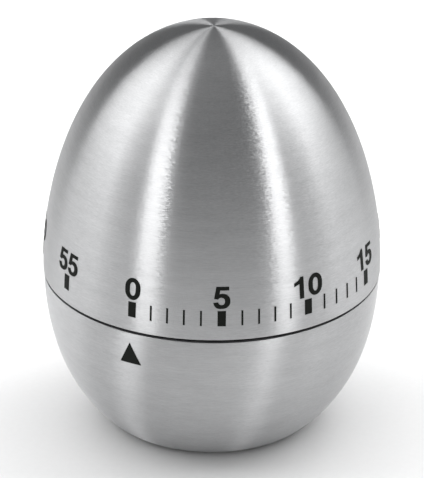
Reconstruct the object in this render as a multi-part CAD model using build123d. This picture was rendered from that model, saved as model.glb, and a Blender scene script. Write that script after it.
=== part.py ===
from build123d import *
import math
import os

# Sixty-minute clockwork kitchen timer in an egg-shaped stainless-steel case.
# Millimetres and degrees. +Z is up, and the origin is the centre of the foot's resting face.
# The pointer faces -Y.

# --- Case outline -------------------------------------------------------------------------------------------
egg_width = 60.0            # widest diameter of the dial shell
egg_half_height = 40.0      # from the outline's middle to its top pole
egg_cut_off = 6.2           # how far the outline's bottom pole would lie below the table
egg_taper = -0.102          # how much narrower the top half is than the bottom half
egg_fullness = 0.096        # how much fuller both ends are than an ellipse
outline_spans = 24          # spans of the outline's curve from pole to pole

# --- Shells and seam ----------------------------------------------------------------------------------------
shell_wall = 0.5
base_inset = 0.12           # the base shell is this much smaller all round than the dial shell
shell_bottom = 0.8          # underside of the base shell above the table
base_corner_radius = 1.2
base_opening_radius = 17.0
seam_height = 28.45
seam_gap = 0.6

# --- Printed marks ------------------------------------------------------------------------------------------
print_thickness = 0.04
print_clearance = 0.01      # between a shell and the underside of its print
hour_marks = 12             # one every five minutes
bar_bottom_height = 31.4
bar_length = 2.75
bar_width = 1.45
tick_width = 0.3
ticks_between_bars = 4
tick_pitch_angle = 5.54
ticked_spaces = 3           # only the first fifteen minutes carry single-minute ticks
numeral_height = 3.9
numeral_width = 2.85
numeral_stroke = 0.72
numeral_thin_stroke = 0.6   # the slanting strokes of the 1, 4 and 5
numeral_advance = 3.15
numeral_gap = 0.4           # from the bar's top to the numeral's foot
stem_share = 0.5            # the stem of a 1 or 4 right of the middle, of the figure's half width
flag_reach = 0.7            # the flag of a 1 left of the middle
flag_drop = 0.45            # its end above the middle, of the figure's half height
four_bar_drop = 0.45
five_back_top = 0.75        # left of the middle, of the half width
five_back_foot = 0.9
five_back_end = 0.6         # above the belly's centre, of its radius
five_belly_start = 140.0    # angles where the round strokes start, and how far they sweep
five_belly_sweep = 310.0
two_hook_start = 170.0
two_hook_sweep = 205.0
three_top_start = 160.0
three_bottom_start = 90.0
three_bowl_sweep = 250.0
zero_angle = -90.0          # plan angle of the zero mark when the dial is run down
pointer_turn = -1.0         # the pointer's print stands this far round from the zero mark
pointer_width = 4.0
pointer_height = 4.1
pointer_drop = 2.1          # apex below the seam

# --- Liner, cover and foot ----------------------------------------------------------------------------------
liner_clearance = 0.1
liner_wall = 1.2
liner_floor = 1.2
liner_lip_thickness = 0.25
liner_lip_recess = 0.12
shelf_thickness = 1.2
shelf_overlap = 3.5         # under the lower plate's edge
cover_clearance = 0.1
cover_overlap = 1.0         # of the cover's flange, past the opening
cover_flange_bottom = 0.3
cover_thickness = 1.6
foot_edge = 1.6             # from the cover's edge
foot_width = 1.8
foot_depth = 1.0
cover_screw_circle = 10.0
cover_screw_radius = 0.9
cover_screw_head_radius = 1.8
cover_screw_head_height = 0.9
cover_screw_depth = 1.5     # thread length above the liner floor's underside
cover_boss_radius = 2.2
cover_boss_height = 1.4
sound_slot_length = 5.0
sound_slot_width = 1.6
sound_slot_circle = 10.5
sound_slots = 9

# --- Bell ---------------------------------------------------------------------------------------------------
bell_radius = 17.5
bell_height = 7.1
bell_wall = 0.9
bell_bend_radius = 5.0
bell_post_radius = 2.5
bell_post_height = 1.8
bell_peg_radius = 1.5
bell_screw_radius = 1.0
bell_screw_head_radius = 2.8
bell_screw_head_height = 1.5

# --- Movement frame -----------------------------------------------------------------------------------------
plate_radius = 24.0
plate_thickness = 1.0
plate_above_bell = 2.8
plate_gap = 10.6
pillar_angles = (120.0, 225.0, 322.0)
pillar_edge = 2.2           # from the plates' edge to a pillar's centre
pillar_radius = 1.6
pillar_foot_radius = 1.0
plate_screw_radius = 0.8
plate_screw_length = 3.0
plate_screw_head_radius = 1.6
plate_screw_head_height = 0.8
movement_screw_angles = (165.0, 255.0, 345.0)
movement_screw_edge = 1.7   # from the lower plate's edge to a screw's centre
movement_screw_radius = 0.8
movement_screw_head_radius = 1.4
screw_slot_width = 0.35
screw_slot_depth = 0.35
bush_radius = 3.4
bush_flange_radius = 4.0
bush_flange = 0.3
pivot_radius = 0.4
pivot_clearance = 0.04
end_play = 0.1

# --- Main arbor, spring and dial drive ----------------------------------------------------------------------
main_arbor_radius = 2.0
main_shoulder_radius = 2.6
main_arbor_tail = 3.3       # below the lower plate
arbor_clearance = 0.05
arbor_flat_depth = 0.5
dial_hub_gap = 2.2          # from the upper plate to the hub
dial_hub_length = 10.4
dial_hub_radius = 4.6
dial_web_lift = 3.9         # above the hub's underside
dial_web_thickness = 1.4
dial_core_wall = 1.2
dial_core_glue = 0.05       # glue line between the core and the dial shell
dial_core_lift = 0.3        # the core's rim above the dial shell's rim
dial_core_rise = 4.0        # of the core's wall, above the web's underside
dial_ribs = 6
dial_rib_thickness = 1.0
dial_fit = 0.02
clip_groove_radius = 1.5
clip_thickness = 0.4
clip_outer_radius = 3.2
clip_mouth = 2.4
spring_core_radius = 3.1
spring_strip = 0.3
spring_width = 4.0
spring_turns = 7
spring_outer_radius = 10.2
spring_post_radius = 0.9
spring_post_angle = 250.0
spring_gap_above_ratchet = 0.5

# --- Wheel train --------------------------------------------------------------------------------------------
wheel_thickness = 0.6
wheel_addendum = 1.2        # times the module
wheel_dedendum = 1.1
wheel_tooth_share = 0.48    # of the pitch
leaf_share = 0.33
leaf_dedendum = 1.45
leaf_shoulder_rise = 0.6     # of the leaf's rounded end
leaf_shoulder_share = 0.8    # of the leaf's half angle
leaf_tip_share = 0.3
flank_points = 3             # on the curved part of a wheel's tooth
flank_roll = 2.0             # degrees rolled from one point to the next on a wheel of flank_roll_teeth
flank_roll_teeth = 64
pinion_leaves = 8
pinion_length = 1.2
wheel_hub_extra = 0.9       # the pinion's collar, beyond its own tip radius, that carries the wheel
wheel_rim = 1.6
wheel_spokes = 4
wheel_spoke_width = 1.1
main_wheel_teeth = 64
main_wheel_module = 0.36
main_wheel_thickness = 0.8
main_wheel_lift = 4.0       # its underside above the lower plate
second_wheel_teeth = 64
second_wheel_module = 0.30
second_wheel_lift = 2.0
third_wheel_teeth = 60
third_wheel_module = 0.26
third_wheel_lift = 0.6
second_arbor_radius = 0.6
third_arbor_radius = 0.5
escape_arbor_radius = 0.45
second_angle = 90.0
third_from_main = 14.0
escape_from_main = 17.0
balance_from_main = 18.0

# --- Ratchet and click --------------------------------------------------------------------------------------
ratchet_teeth = 20
ratchet_radius = 5.5
ratchet_root_radius = 4.7
ratchet_thickness = 0.8
ratchet_root_land = 1.0      # degrees of flat at each tooth's root
click_pivot_circle = 8.2
click_pivot_angle = 55.0
click_pivot_radius = 1.2
click_nose_angle = 1.2
click_nose_gap = 0.25        # above the ratchet's roots
click_nose_rise = 0.8        # the nose's back above the ratchet's tips
click_nose_back_angle = 1.6
click_belly_angle = 9.0
click_belly_gap = 0.65       # above the ratchet's roots
click_shoulder_angle = 18.0
click_shoulder_gap = 0.3     # above the ratchet's tips
click_back_angle = 16.0
click_back_drop = 0.6        # inside the pivot's circle
click_heel_turn = 5.0        # the heel's corners before the pivot
click_rivet_radius = 0.6
click_rivet_head_radius = 1.0
click_rivet_head_height = 0.3
click_spring_circle = 9.6
click_spring_strip = 0.25
click_spring_foot_radius = 0.75
click_spring_foot_turn = 40.0  # beyond the click's pivot
click_spring_end_angle = 8.0

# --- Escapement ---------------------------------------------------------------------------------------------
escape_teeth = 16
escape_radius = 4.5
escape_root_radius = 3.5
escape_back_turn = 6.0       # degrees that a tooth's back leans
escape_face_turn = 1.0       # degrees that its face is undercut
escape_land = 1.0            # degrees of flat at its tip
escape_wheel_lift = 7.7
balance_distance = 6.2
pallet_pin_radius = 0.25
pallet_pin_clearance = 0.1
pallet_pin_gap_number = 1.5  # teeth from the line of centres to each pin
pallet_arm_thickness = 0.6
pallet_arm_width = 0.9
pallet_arm_gap = 0.3
balance_staff_radius = 0.5
balance_ring_radius = 4.5
balance_ring_width = 0.9
balance_ring_height = 1.0
balance_ring_lift = 5.0

# --- Strike work under the lower plate ----------------------------------------------------------------------
strike_level_gap = 1.3      # from the lower plate down to the cam and the star
strike_thickness = 1.0
lock_cam_radius = 6.0
lock_cam_hub_radius = 3.2
lock_notch_width = 2.6
lock_notch_depth = 1.5
star_teeth = 8
star_radius = 3.0
star_root_radius = 1.5
star_hub_radius = 1.2
star_root_half_angle = 14.0
star_tip_half_angle = 3.0
hammer_circle = 13.5
hammer_angle = 140.0
hammer_post_radius = 0.8
hammer_post_head_radius = 1.5
hammer_post_head_height = 0.4
hammer_hub_radius = 1.7
lever_thickness = 0.8
lever_width = 1.5
nib_arm_width = 1.0
nib_width = 0.6
nib_reach = 1.6
nib_clearance = 0.1
hammer_head_radius = 1.6
hammer_head_angle = 200.0
hammer_head_drop = 1.3      # centre below the bell's rim
hammer_lift_gap = 1.17      # from the held hammer to the bell's wall
hammer_pin_radius = 0.45
hammer_spring_strip = 0.25
hammer_spring_stud_radius = 0.7
hammer_spring_stud_circle = 9.3
hammer_spring_stud_angle = 230.0
hammer_spring_gap = 0.15
hammer_spring_reach = 0.7    # where it bears, as a share of the way from the pivot to the hammer


# --- Levels that follow from the sizes above ----------------------------------------------------------------
egg_middle_height = egg_half_height - egg_cut_off
shell_floor = shell_bottom + shell_wall
seam_bottom = seam_height - seam_gap / 2
seam_top = seam_height + seam_gap / 2
liner_inset = base_inset + shell_wall + liner_clearance
liner_inner_inset = liner_inset + liner_wall
cover_top = cover_flange_bottom + cover_thickness
floor_top = cover_top + liner_floor
bell_bottom = floor_top + bell_post_height
bell_rim = bell_bottom + bell_height
lower_plate_bottom = bell_rim + plate_above_bell
lower_plate_top = lower_plate_bottom + plate_thickness
upper_plate_bottom = lower_plate_top + plate_gap
upper_plate_top = upper_plate_bottom + plate_thickness
dial_hub_bottom = upper_plate_top + dial_hub_gap
dial_hub_top = dial_hub_bottom + dial_hub_length
dial_web_height = dial_hub_bottom + dial_web_lift
dial_core_top = dial_web_height + dial_core_rise
strike_top = lower_plate_bottom - strike_level_gap
strike_bottom = strike_top - strike_thickness
main_arbor_bottom = lower_plate_bottom - main_arbor_tail
clip_bottom = strike_bottom - end_play - clip_thickness
main_wheel_bottom = lower_plate_top + main_wheel_lift
main_wheel_top = main_wheel_bottom + main_wheel_thickness
ratchet_bottom = main_wheel_top + end_play
ratchet_top = ratchet_bottom + ratchet_thickness
spring_bottom = ratchet_top + spring_gap_above_ratchet
spring_top = spring_bottom + spring_width
spring_core_top = upper_plate_bottom - bush_flange - end_play
numeral_bottom = bar_bottom_height + bar_length + numeral_gap
spring_post_circle = spring_outer_radius + spring_strip / 2 + spring_post_radius
cover_flange_radius = base_opening_radius + cover_overlap
foot_outer_radius = cover_flange_radius - foot_edge
foot_inner_radius = foot_outer_radius - foot_width
shelf_inner_radius = plate_radius - shelf_overlap
pillar_circle = plate_radius - pillar_edge
movement_screw_circle = plate_radius - movement_screw_edge


# --- Small tools --------------------------------------------------------------------------------------------
def polar(radius, angle, centre=(0.0, 0.0)):
    """The plan point at a radius and an angle in degrees from a centre."""
    turn = math.radians(angle)
    return centre[0] + radius * math.cos(turn), centre[1] + radius * math.sin(turn)


def direction(start, end):
    """The angle in degrees of the plan line from start to end."""
    return math.degrees(math.atan2(end[1] - start[1], end[0] - start[0]))


def angle_between(side_a, side_b, opposite):
    """The angle in degrees between two sides of a triangle whose third side is given."""
    return math.degrees(math.acos((side_a**2 + side_b**2 - opposite**2) / (2 * side_a * side_b)))


def disc(radius, bottom, top, centre=(0.0, 0.0)):
    """A round slab between two heights."""
    return Pos(centre[0], centre[1], bottom) * Cylinder(
        radius, top - bottom, align=(Align.CENTER, Align.CENTER, Align.MIN)
    )


def ring(outer_radius, inner_radius, bottom, top, centre=(0.0, 0.0)):
    """A flat ring or tube between two heights."""
    return disc(outer_radius, bottom, top, centre) - disc(inner_radius, bottom, top, centre)


def prism(points, bottom, top):
    """A plan outline raised between two heights."""
    return extrude(Pos(0, 0, bottom) * Polygon(*points, align=None), amount=top - bottom, dir=(0, 0, 1))


def bar_between(start, end, width, bottom, top):
    """A straight bar with round ends between two plan points."""
    length = math.dist(start, end)
    middle = ((start[0] + end[0]) / 2, (start[1] + end[1]) / 2, bottom)
    outline = SlotCenterToCenter(length, width)
    return extrude(Pos(*middle) * Rot(0, 0, direction(start, end)) * outline, amount=top - bottom)


def group(shapes):
    """Separate solids that share one node."""
    return Compound(children=[solid for shape in shapes for solid in shape.solids()])


def toothed(teeth, flank, first_angle, centre=(0.0, 0.0)):
    """The outline of a wheel with mirrored teeth. A flank lists radius and half angle from root to tip."""
    points = []
    for tooth in range(teeth):
        middle = first_angle + 360 / teeth * tooth
        points += [polar(radius, middle - half, centre) for radius, half in flank]
        points += [polar(radius, middle + half, centre) for radius, half in reversed(flank)]
    return points


# --- Egg outline --------------------------------------------------------------------------------------------
def swell(sine):
    """How far the outline stands out from an ellipse at a height given as the sine of its angle."""
    return 1 + egg_taper * sine + egg_fullness * sine**2


def widest_share():
    """The largest radius of the outline when the ellipse's own radius is one."""
    angles = [math.radians(step / 10) for step in range(-300, 300)]
    return max(math.cos(angle) * swell(math.sin(angle)) for angle in angles)


egg_scale = egg_width / 2 / widest_share()


def egg_point(angle, inset):
    """Radius and height of the outline at an angle from -90, the bottom pole, to 90, the top pole."""
    sine = math.sin(math.radians(angle))
    cosine = math.cos(math.radians(angle))
    run = egg_scale * (cosine**2 * (egg_taper + 2 * egg_fullness * sine) - sine * swell(sine))
    rise = egg_half_height * cosine
    slope_length = math.hypot(run, rise)
    radius = egg_scale * cosine * swell(sine) - inset * rise / slope_length
    height = egg_middle_height + egg_half_height * sine + inset * run / slope_length
    return max(radius, 0.0), height


def egg_radius(height, inset):
    """The outline's radius at a height, found by halving the range of angles."""
    low, high = -90.0, 90.0
    for _ in range(50):
        middle = (low + high) / 2
        if egg_point(middle, inset)[1] < height:
            low = middle
        else:
            high = middle
    return egg_point(low, inset)[0]


def egg(inset):
    """The whole egg as a solid, moved in by inset."""
    angles = [-90 + 180 * step / outline_spans for step in range(outline_spans + 1)]
    points = [egg_point(angle, inset) for angle in angles]
    bottom = (0.0, points[0][1])
    top = (0.0, points[-1][1])
    side = Spline([bottom, *points[1:-1], top], tangents=[(1, 0), (-1, 0)], tangent_scalars=[1, 1])
    return revolve(Plane.XZ * make_face([side.edge(), Line(top, bottom).edge()]), Axis.Z)


def egg_slice(inset, bottom, top):
    """The egg between two heights."""
    return egg(inset) & disc(egg_width, bottom, top)


# --- Case ---------------------------------------------------------------------------------------------------
def dial_shell():
    """The upper shell that the hand turns."""
    top = egg_middle_height + egg_half_height + shell_wall
    return egg_slice(0, seam_top, top) - egg_slice(shell_wall, seam_top, top)


def base_shell():
    """The lower shell, with a rounded corner and a flat flange round its opening."""
    outside = egg_slice(base_inset, shell_bottom, seam_bottom)
    outside = fillet(outside.edges().group_by(Axis.Z)[0], base_corner_radius)
    inside = egg_slice(base_inset + shell_wall, shell_floor, seam_bottom)
    inside = fillet(inside.edges().group_by(Axis.Z)[0], base_corner_radius - shell_wall)
    return outside - inside - disc(base_opening_radius, shell_bottom, shell_floor)


def sound_slot_cutter(bottom, top):
    """The ring of radial slots that let the bell be heard."""
    slots = []
    for number in range(sound_slots):
        angle = 360 / sound_slots * (number + 0.5)
        start = polar(sound_slot_circle - sound_slot_length / 2, angle)
        end = polar(sound_slot_circle + sound_slot_length / 2 - sound_slot_width, angle)
        slots.append(bar_between(start, end, sound_slot_width, bottom, top))
    return slots


def cover_screw_spots():
    """Plan places of the three cover screws, each between two sound slots."""
    return [polar(cover_screw_circle, 120 * number) for number in range(3)]


def movement_liner():
    """The plastic cup that lines the base shell, with a shelf for the movement and a lip over the rim."""
    cup = egg_slice(liner_inset, shell_floor, seam_bottom)
    cup = fillet(cup.edges().group_by(Axis.Z)[0], base_corner_radius - shell_wall)
    cup -= egg_slice(liner_inner_inset, floor_top, seam_bottom)
    cup -= disc(base_opening_radius, shell_floor, cover_top)
    lip_top = seam_bottom + liner_lip_thickness
    cup += egg_slice(liner_lip_recess + base_inset, seam_bottom, lip_top) - egg_slice(
        liner_inner_inset, seam_bottom, lip_top
    )
    shelf_bottom = lower_plate_bottom - shelf_thickness
    shelf = egg_slice(liner_inset + liner_wall / 2, shelf_bottom, lower_plate_bottom)
    cup += shelf - disc(shelf_inner_radius, shelf_bottom, lower_plate_bottom)
    for spot in cover_screw_spots():
        cup += disc(cover_boss_radius, floor_top, floor_top + cover_boss_height, spot)
        cup -= disc(cover_screw_radius, cover_top, cover_top + cover_screw_depth, spot)
    for angle in movement_screw_angles:
        spot = polar(movement_screw_circle, angle)
        cup -= disc(movement_screw_radius, shelf_bottom, lower_plate_bottom, spot)
    cup -= disc(bell_peg_radius, cover_top, floor_top)
    return cup - sound_slot_cutter(cover_top, floor_top)


def bottom_cover():
    """The plastic cover that clamps the shell's flange and carries the foot ring."""
    flange_top = shell_bottom
    cover = disc(cover_flange_radius, cover_flange_bottom, flange_top)
    cover += disc(base_opening_radius - cover_clearance, flange_top, cover_top)
    cover -= ring(foot_outer_radius, foot_inner_radius, cover_flange_bottom, foot_depth)
    for spot in cover_screw_spots():
        head_top = cover_flange_bottom + cover_screw_head_height
        cover -= disc(cover_screw_head_radius, cover_flange_bottom, head_top, spot)
        cover -= disc(cover_screw_radius, head_top, cover_top, spot)
    return cover - sound_slot_cutter(cover_flange_bottom, cover_top)


def foot_ring():
    """The rubber ring that the timer stands on."""
    foot = ring(foot_outer_radius, foot_inner_radius, 0, foot_depth)
    edge_radius = cover_flange_bottom / 2
    return fillet(foot.edges().group_by(Axis.Z)[0], edge_radius)


def slotted_screw(head, shank, spot, slot_on_top):
    """A screw with a straight slot across its head. Head and shank are each a radius, a bottom and a top."""
    head_radius, head_bottom, head_top = head
    screw = disc(*head, spot) + disc(*shank, spot)
    slot_height = head_top - screw_slot_depth / 2 if slot_on_top else head_bottom + screw_slot_depth / 2
    slot = Box(2 * head_radius, screw_slot_width, screw_slot_depth)
    return screw - Pos(spot[0], spot[1], slot_height) * Rot(0, 0, direction((0, 0), spot)) * slot


def cover_screws():
    """Three screws from below through the cover into the liner's bosses."""
    head_top = cover_flange_bottom + cover_screw_head_height
    head = (cover_screw_head_radius, cover_flange_bottom, head_top)
    shank = (cover_screw_radius, head_top, cover_top + cover_screw_depth)
    return group(slotted_screw(head, shank, spot, slot_on_top=False) for spot in cover_screw_spots())


# --- Bell ---------------------------------------------------------------------------------------------------
def bell_post():
    """The brass post that holds the bell off the floor."""
    post = disc(bell_post_radius, floor_top, bell_bottom) + disc(bell_peg_radius, cover_top, floor_top)
    return post - disc(bell_screw_radius, floor_top, bell_bottom)


def bell_solid(radius, bend_radius, bottom, rim):
    """A cup with a flat base and a rounded corner."""
    cup = disc(radius, bottom, rim)
    return fillet(cup.edges().group_by(Axis.Z)[0], bend_radius)


def bell():
    """The steel gong: a shallow cup open upwards."""
    outside = bell_solid(bell_radius, bell_bend_radius, bell_bottom, bell_rim)
    inside_bottom = bell_bottom + bell_wall
    inside = bell_solid(bell_radius - bell_wall, bell_bend_radius - bell_wall, inside_bottom, bell_rim)
    return outside - inside - disc(bell_screw_radius, bell_bottom, inside_bottom)


def bell_screw():
    """The screw through the bell's centre into its post."""
    head_bottom = bell_bottom + bell_wall
    head = (bell_screw_head_radius, head_bottom, head_bottom + bell_screw_head_height)
    shank = (bell_screw_radius, floor_top, head_bottom)
    return slotted_screw(head, shank, main_spot, slot_on_top=True)


# --- Places of the arbors -----------------------------------------------------------------------------------
main_spot = (0.0, 0.0)
second_distance = main_wheel_module * (main_wheel_teeth + pinion_leaves) / 2
third_distance = second_wheel_module * (second_wheel_teeth + pinion_leaves) / 2
escape_distance = third_wheel_module * (third_wheel_teeth + pinion_leaves) / 2
third_angle = second_angle - angle_between(second_distance, third_from_main, third_distance)
escape_angle = third_angle - angle_between(third_from_main, escape_from_main, escape_distance)
balance_angle = escape_angle - angle_between(escape_from_main, balance_from_main, balance_distance)
second_spot = polar(second_distance, second_angle)
third_spot = polar(third_from_main, third_angle)
escape_spot = polar(escape_from_main, escape_angle)
balance_spot = polar(balance_from_main, balance_angle)
hammer_spot = polar(hammer_circle, hammer_angle)
train_spots = (second_spot, third_spot, escape_spot, balance_spot)


# --- Movement frame -----------------------------------------------------------------------------------------
def hammer_spring_stud_spot():
    """Plan place of the stud that holds the hammer spring."""
    return polar(hammer_spring_stud_circle, hammer_spring_stud_angle)


def lower_plate():
    """The brass plate that sits on the liner's shelf."""
    plate = disc(plate_radius, lower_plate_bottom, lower_plate_top)
    holes = [(bush_radius, main_spot), (second_arbor_radius + pivot_clearance, second_spot)]
    holes += [(pivot_radius + pivot_clearance, spot) for spot in train_spots[1:]]
    holes += [(pillar_foot_radius, polar(pillar_circle, angle)) for angle in pillar_angles]
    holes += [(movement_screw_radius, polar(movement_screw_circle, angle)) for angle in movement_screw_angles]
    holes += [(hammer_post_radius, hammer_spot), (hammer_spring_stud_radius, hammer_spring_stud_spot())]
    for radius, spot in holes:
        plate -= disc(radius, lower_plate_bottom, lower_plate_top, spot)
    return plate


def upper_plate():
    """The brass plate on top of the pillars."""
    plate = disc(plate_radius, upper_plate_bottom, upper_plate_top)
    holes = [(bush_radius, main_spot)]
    holes += [(pivot_radius + pivot_clearance, spot) for spot in train_spots]
    holes += [(plate_screw_radius, polar(pillar_circle, angle)) for angle in pillar_angles]
    holes.append((spring_post_radius, polar(spring_post_circle, spring_post_angle)))
    for radius, spot in holes:
        plate -= disc(radius, upper_plate_bottom, upper_plate_top, spot)
    return plate


def plate_pillars():
    """Three pillars riveted into the lower plate and tapped at the top."""
    pillars = []
    for angle in pillar_angles:
        spot = polar(pillar_circle, angle)
        pillar = disc(pillar_radius, lower_plate_top, upper_plate_bottom, spot)
        pillar += disc(pillar_foot_radius, lower_plate_bottom, lower_plate_top, spot)
        thread_bottom = upper_plate_bottom - plate_screw_length
        pillars.append(pillar - disc(plate_screw_radius, thread_bottom, upper_plate_bottom, spot))
    return group(pillars)


def plate_screws():
    """Three screws that hold the upper plate down on the pillars."""
    head = (plate_screw_head_radius, upper_plate_top, upper_plate_top + plate_screw_head_height)
    shank = (plate_screw_radius, upper_plate_bottom - plate_screw_length, upper_plate_top)
    spots = [polar(pillar_circle, angle) for angle in pillar_angles]
    return group(slotted_screw(head, shank, spot, slot_on_top=True) for spot in spots)


def movement_screws():
    """Three screws that hold the lower plate down on the liner's shelf."""
    head = (movement_screw_head_radius, lower_plate_top, lower_plate_top + plate_screw_head_height)
    shank = (movement_screw_radius, lower_plate_bottom - shelf_thickness, lower_plate_top)
    spots = [polar(movement_screw_circle, angle) for angle in movement_screw_angles]
    return group(slotted_screw(head, shank, spot, slot_on_top=True) for spot in spots)


def main_bushes():
    """The two flanged brass bushes that the main arbor turns in."""
    bore = main_arbor_radius + arbor_clearance
    lower = ring(bush_radius, bore, lower_plate_bottom, lower_plate_top)
    lower += ring(bush_flange_radius, bore, lower_plate_top, lower_plate_top + bush_flange)
    upper = ring(bush_radius, bore, upper_plate_bottom, upper_plate_top)
    upper += ring(bush_flange_radius, bore, upper_plate_bottom - bush_flange, upper_plate_bottom)
    return group([lower, upper])


# --- Main arbor and mainspring ------------------------------------------------------------------------------
def arbor_section(radius, bottom, top):
    """The arbor's drive end: round with one flat."""
    flat_place = Pos(0, arbor_flat_depth - 2 * radius, (bottom + top) / 2)
    return disc(radius, bottom, top) - flat_place * Box(4 * radius, 2 * radius, top - bottom)


def main_arbor():
    """The steel arbor from the lock cam up to the dial's hub."""
    shoulder_bottom = lower_plate_top + bush_flange + end_play
    arbor = disc(main_arbor_radius, main_arbor_bottom, upper_plate_top)
    arbor += disc(main_shoulder_radius, shoulder_bottom, main_wheel_bottom - end_play / 2)
    arbor += arbor_section(main_arbor_radius, upper_plate_top, dial_hub_top - dial_rib_thickness)
    return arbor - ring(2 * main_arbor_radius, clip_groove_radius, clip_bottom, clip_bottom + clip_thickness)


def arbor_clip():
    """The snap ring in the arbor's groove under the lock cam."""
    clip = ring(clip_outer_radius, clip_groove_radius, clip_bottom, clip_bottom + clip_thickness)
    mouth = Pos(0, -clip_outer_radius, clip_bottom) * Box(
        clip_mouth, 2 * clip_outer_radius, clip_thickness, align=(Align.CENTER, Align.CENTER, Align.MIN)
    )
    return clip - mouth


def ratchet_wheel():
    """The ratchet with the long hub that the mainspring winds on."""
    points = []
    for tooth in range(ratchet_teeth):
        face = 360 / ratchet_teeth * tooth
        points += [polar(ratchet_root_radius, face), polar(ratchet_root_radius, face + ratchet_root_land)]
        points.append(polar(ratchet_radius, face + 360 / ratchet_teeth))
    ratchet = prism(points, ratchet_bottom, ratchet_top)
    ratchet += disc(spring_core_radius, ratchet_top, spring_core_top)
    return ratchet - disc(main_arbor_radius, ratchet_bottom, spring_core_top)


def spiral_point(turn, radius_offset):
    """A plan point on the mainspring's coil after a number of turns from its core."""
    start = spring_core_radius + spring_strip / 2
    radius = start + (spring_outer_radius - start) * turn / spring_turns
    return polar(radius + radius_offset, spring_post_angle + 360 * (turn - spring_turns))


def mainspring():
    """The coiled steel strip from the arbor's hub to its post."""
    points_per_turn = 12
    turns = [step / points_per_turn for step in range(spring_turns * points_per_turn + 1)]
    half = spring_strip / 2
    outer = Spline([spiral_point(turn, half) for turn in turns])
    inner = Spline([spiral_point(turn, -half) for turn in turns])
    start = Line(outer @ 0, inner @ 0)
    end = Line(outer @ 1, inner @ 1)
    face = make_face([outer.edge(), end.edge(), inner.edge(), start.edge()])
    strip = extrude(Pos(0, 0, spring_bottom) * face, amount=spring_width)
    post = polar(spring_post_circle, spring_post_angle)
    eye = ring(spring_post_radius + spring_strip, spring_post_radius, spring_bottom, spring_top, post)
    strip += eye
    return strip - disc(spring_post_radius, spring_bottom, spring_top, post) - disc(
        spring_core_radius, spring_bottom, spring_top
    )


def spring_post():
    """The post under the upper plate that the mainspring's outer eye sits on."""
    spot = polar(spring_post_circle, spring_post_angle)
    return disc(spring_post_radius, spring_bottom, upper_plate_top, spot)


def dial_core():
    """The plastic core bonded inside the dial shell, with the hub that fits the arbor's flat."""
    inset = shell_wall + dial_core_glue
    rim = seam_top + dial_core_lift
    core = egg_slice(inset, rim, dial_core_top) - egg_slice(inset + dial_core_wall, rim, dial_core_top)
    core += egg_slice(inset + dial_core_wall / 2, dial_web_height, dial_web_height + dial_web_thickness)
    core += disc(dial_hub_radius, dial_hub_bottom, dial_hub_top)
    for number in range(dial_ribs):
        rib_outer = egg_radius(dial_hub_bottom, inset) - dial_core_wall / 2
        rib = Pos(rib_outer / 2, 0, dial_hub_bottom) * Box(
            rib_outer, dial_rib_thickness, dial_web_height - dial_hub_bottom,
            align=(Align.CENTER, Align.CENTER, Align.MIN),
        )
        core += Rot(0, 0, 360 / dial_ribs * number) * rib
    bore_top = dial_hub_top - dial_rib_thickness
    return core - arbor_section(main_arbor_radius + dial_fit, dial_hub_bottom, bore_top)


# --- Wheel train --------------------------------------------------------------------------------------------
def wheel_flank(teeth, module):
    """Half a wheel tooth from root to tip: a radial foot, then a curve rolled by half the pinion's radius."""
    pitch_radius = module * teeth / 2
    half = 180 / teeth * wheel_tooth_share
    flank = [(pitch_radius - wheel_dedendum * module, half), (pitch_radius, half)]
    roller = module * pinion_leaves / 4
    for step in range(1, flank_points + 1):
        roll = math.radians(step * flank_roll * flank_roll_teeth / teeth)
        spin = (pitch_radius + roller) / roller * roll
        x = (pitch_radius + roller) * math.cos(roll) - roller * math.cos(spin)
        y = (pitch_radius + roller) * math.sin(roll) - roller * math.sin(spin)
        radius = math.hypot(x, y)
        remaining = half - math.degrees(math.atan2(y, x))
        if remaining > 0 and radius < pitch_radius + wheel_addendum * module:
            flank.append((radius, remaining))
    return flank


def wheel_tip_radius(teeth, module):
    """The largest radius of a wheel."""
    return module * (teeth / 2 + wheel_addendum)


def leaf_flank(module):
    """Half a pinion leaf from root to tip: a radial flank with a rounded end."""
    pitch_radius = module * pinion_leaves / 2
    half = 180 / pinion_leaves * leaf_share
    end = pitch_radius * math.radians(half)
    return [
        (pitch_radius - leaf_dedendum * module, half),
        (pitch_radius, half),
        (pitch_radius + leaf_shoulder_rise * end, leaf_shoulder_share * half),
        (pitch_radius + end, leaf_tip_share * half),
    ]


def pinion(module, arbor_radius, spot, driver_spot, bottom, collar_bottom, collar_top):
    """A pinion whose gap faces the wheel that drives it, with the collar that carries its own wheel."""
    top = bottom + pinion_length
    leaf_angle = direction(spot, driver_spot) + 180 / pinion_leaves
    leaves = prism(toothed(pinion_leaves, leaf_flank(module), leaf_angle, spot), bottom, top)
    collar = disc(collar_radius(module), collar_bottom, collar_top, spot)
    return leaves + collar - disc(arbor_radius, min(bottom, collar_bottom), max(top, collar_top), spot)


def spoked_wheel(teeth, module, spot, mate_spot, bottom, bore_radius):
    """A brass wheel with a tooth facing the pinion that it drives, and open spaces between its spokes."""
    tooth_angle = direction(spot, mate_spot)
    outline = toothed(teeth, wheel_flank(teeth, module), tooth_angle, spot)
    wheel = prism(outline, bottom, bottom + wheel_thickness)
    rim_inner = module * teeth / 2 - wheel_rim
    hub_outer = bore_radius + wheel_rim
    window = ring(rim_inner, hub_outer, bottom, bottom + wheel_thickness, spot)
    for number in range(wheel_spokes):
        end = polar(rim_inner + wheel_rim / 2, tooth_angle + 45 + 360 / wheel_spokes * number, spot)
        window -= bar_between(spot, end, wheel_spoke_width, bottom, bottom + wheel_thickness)
    return wheel - window - disc(bore_radius, bottom, bottom + wheel_thickness, spot)


def collar_radius(module):
    """The collar of a pinion is a little larger than the pinion's own tips."""
    return module * (pinion_leaves / 2 + wheel_hub_extra)


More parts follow.
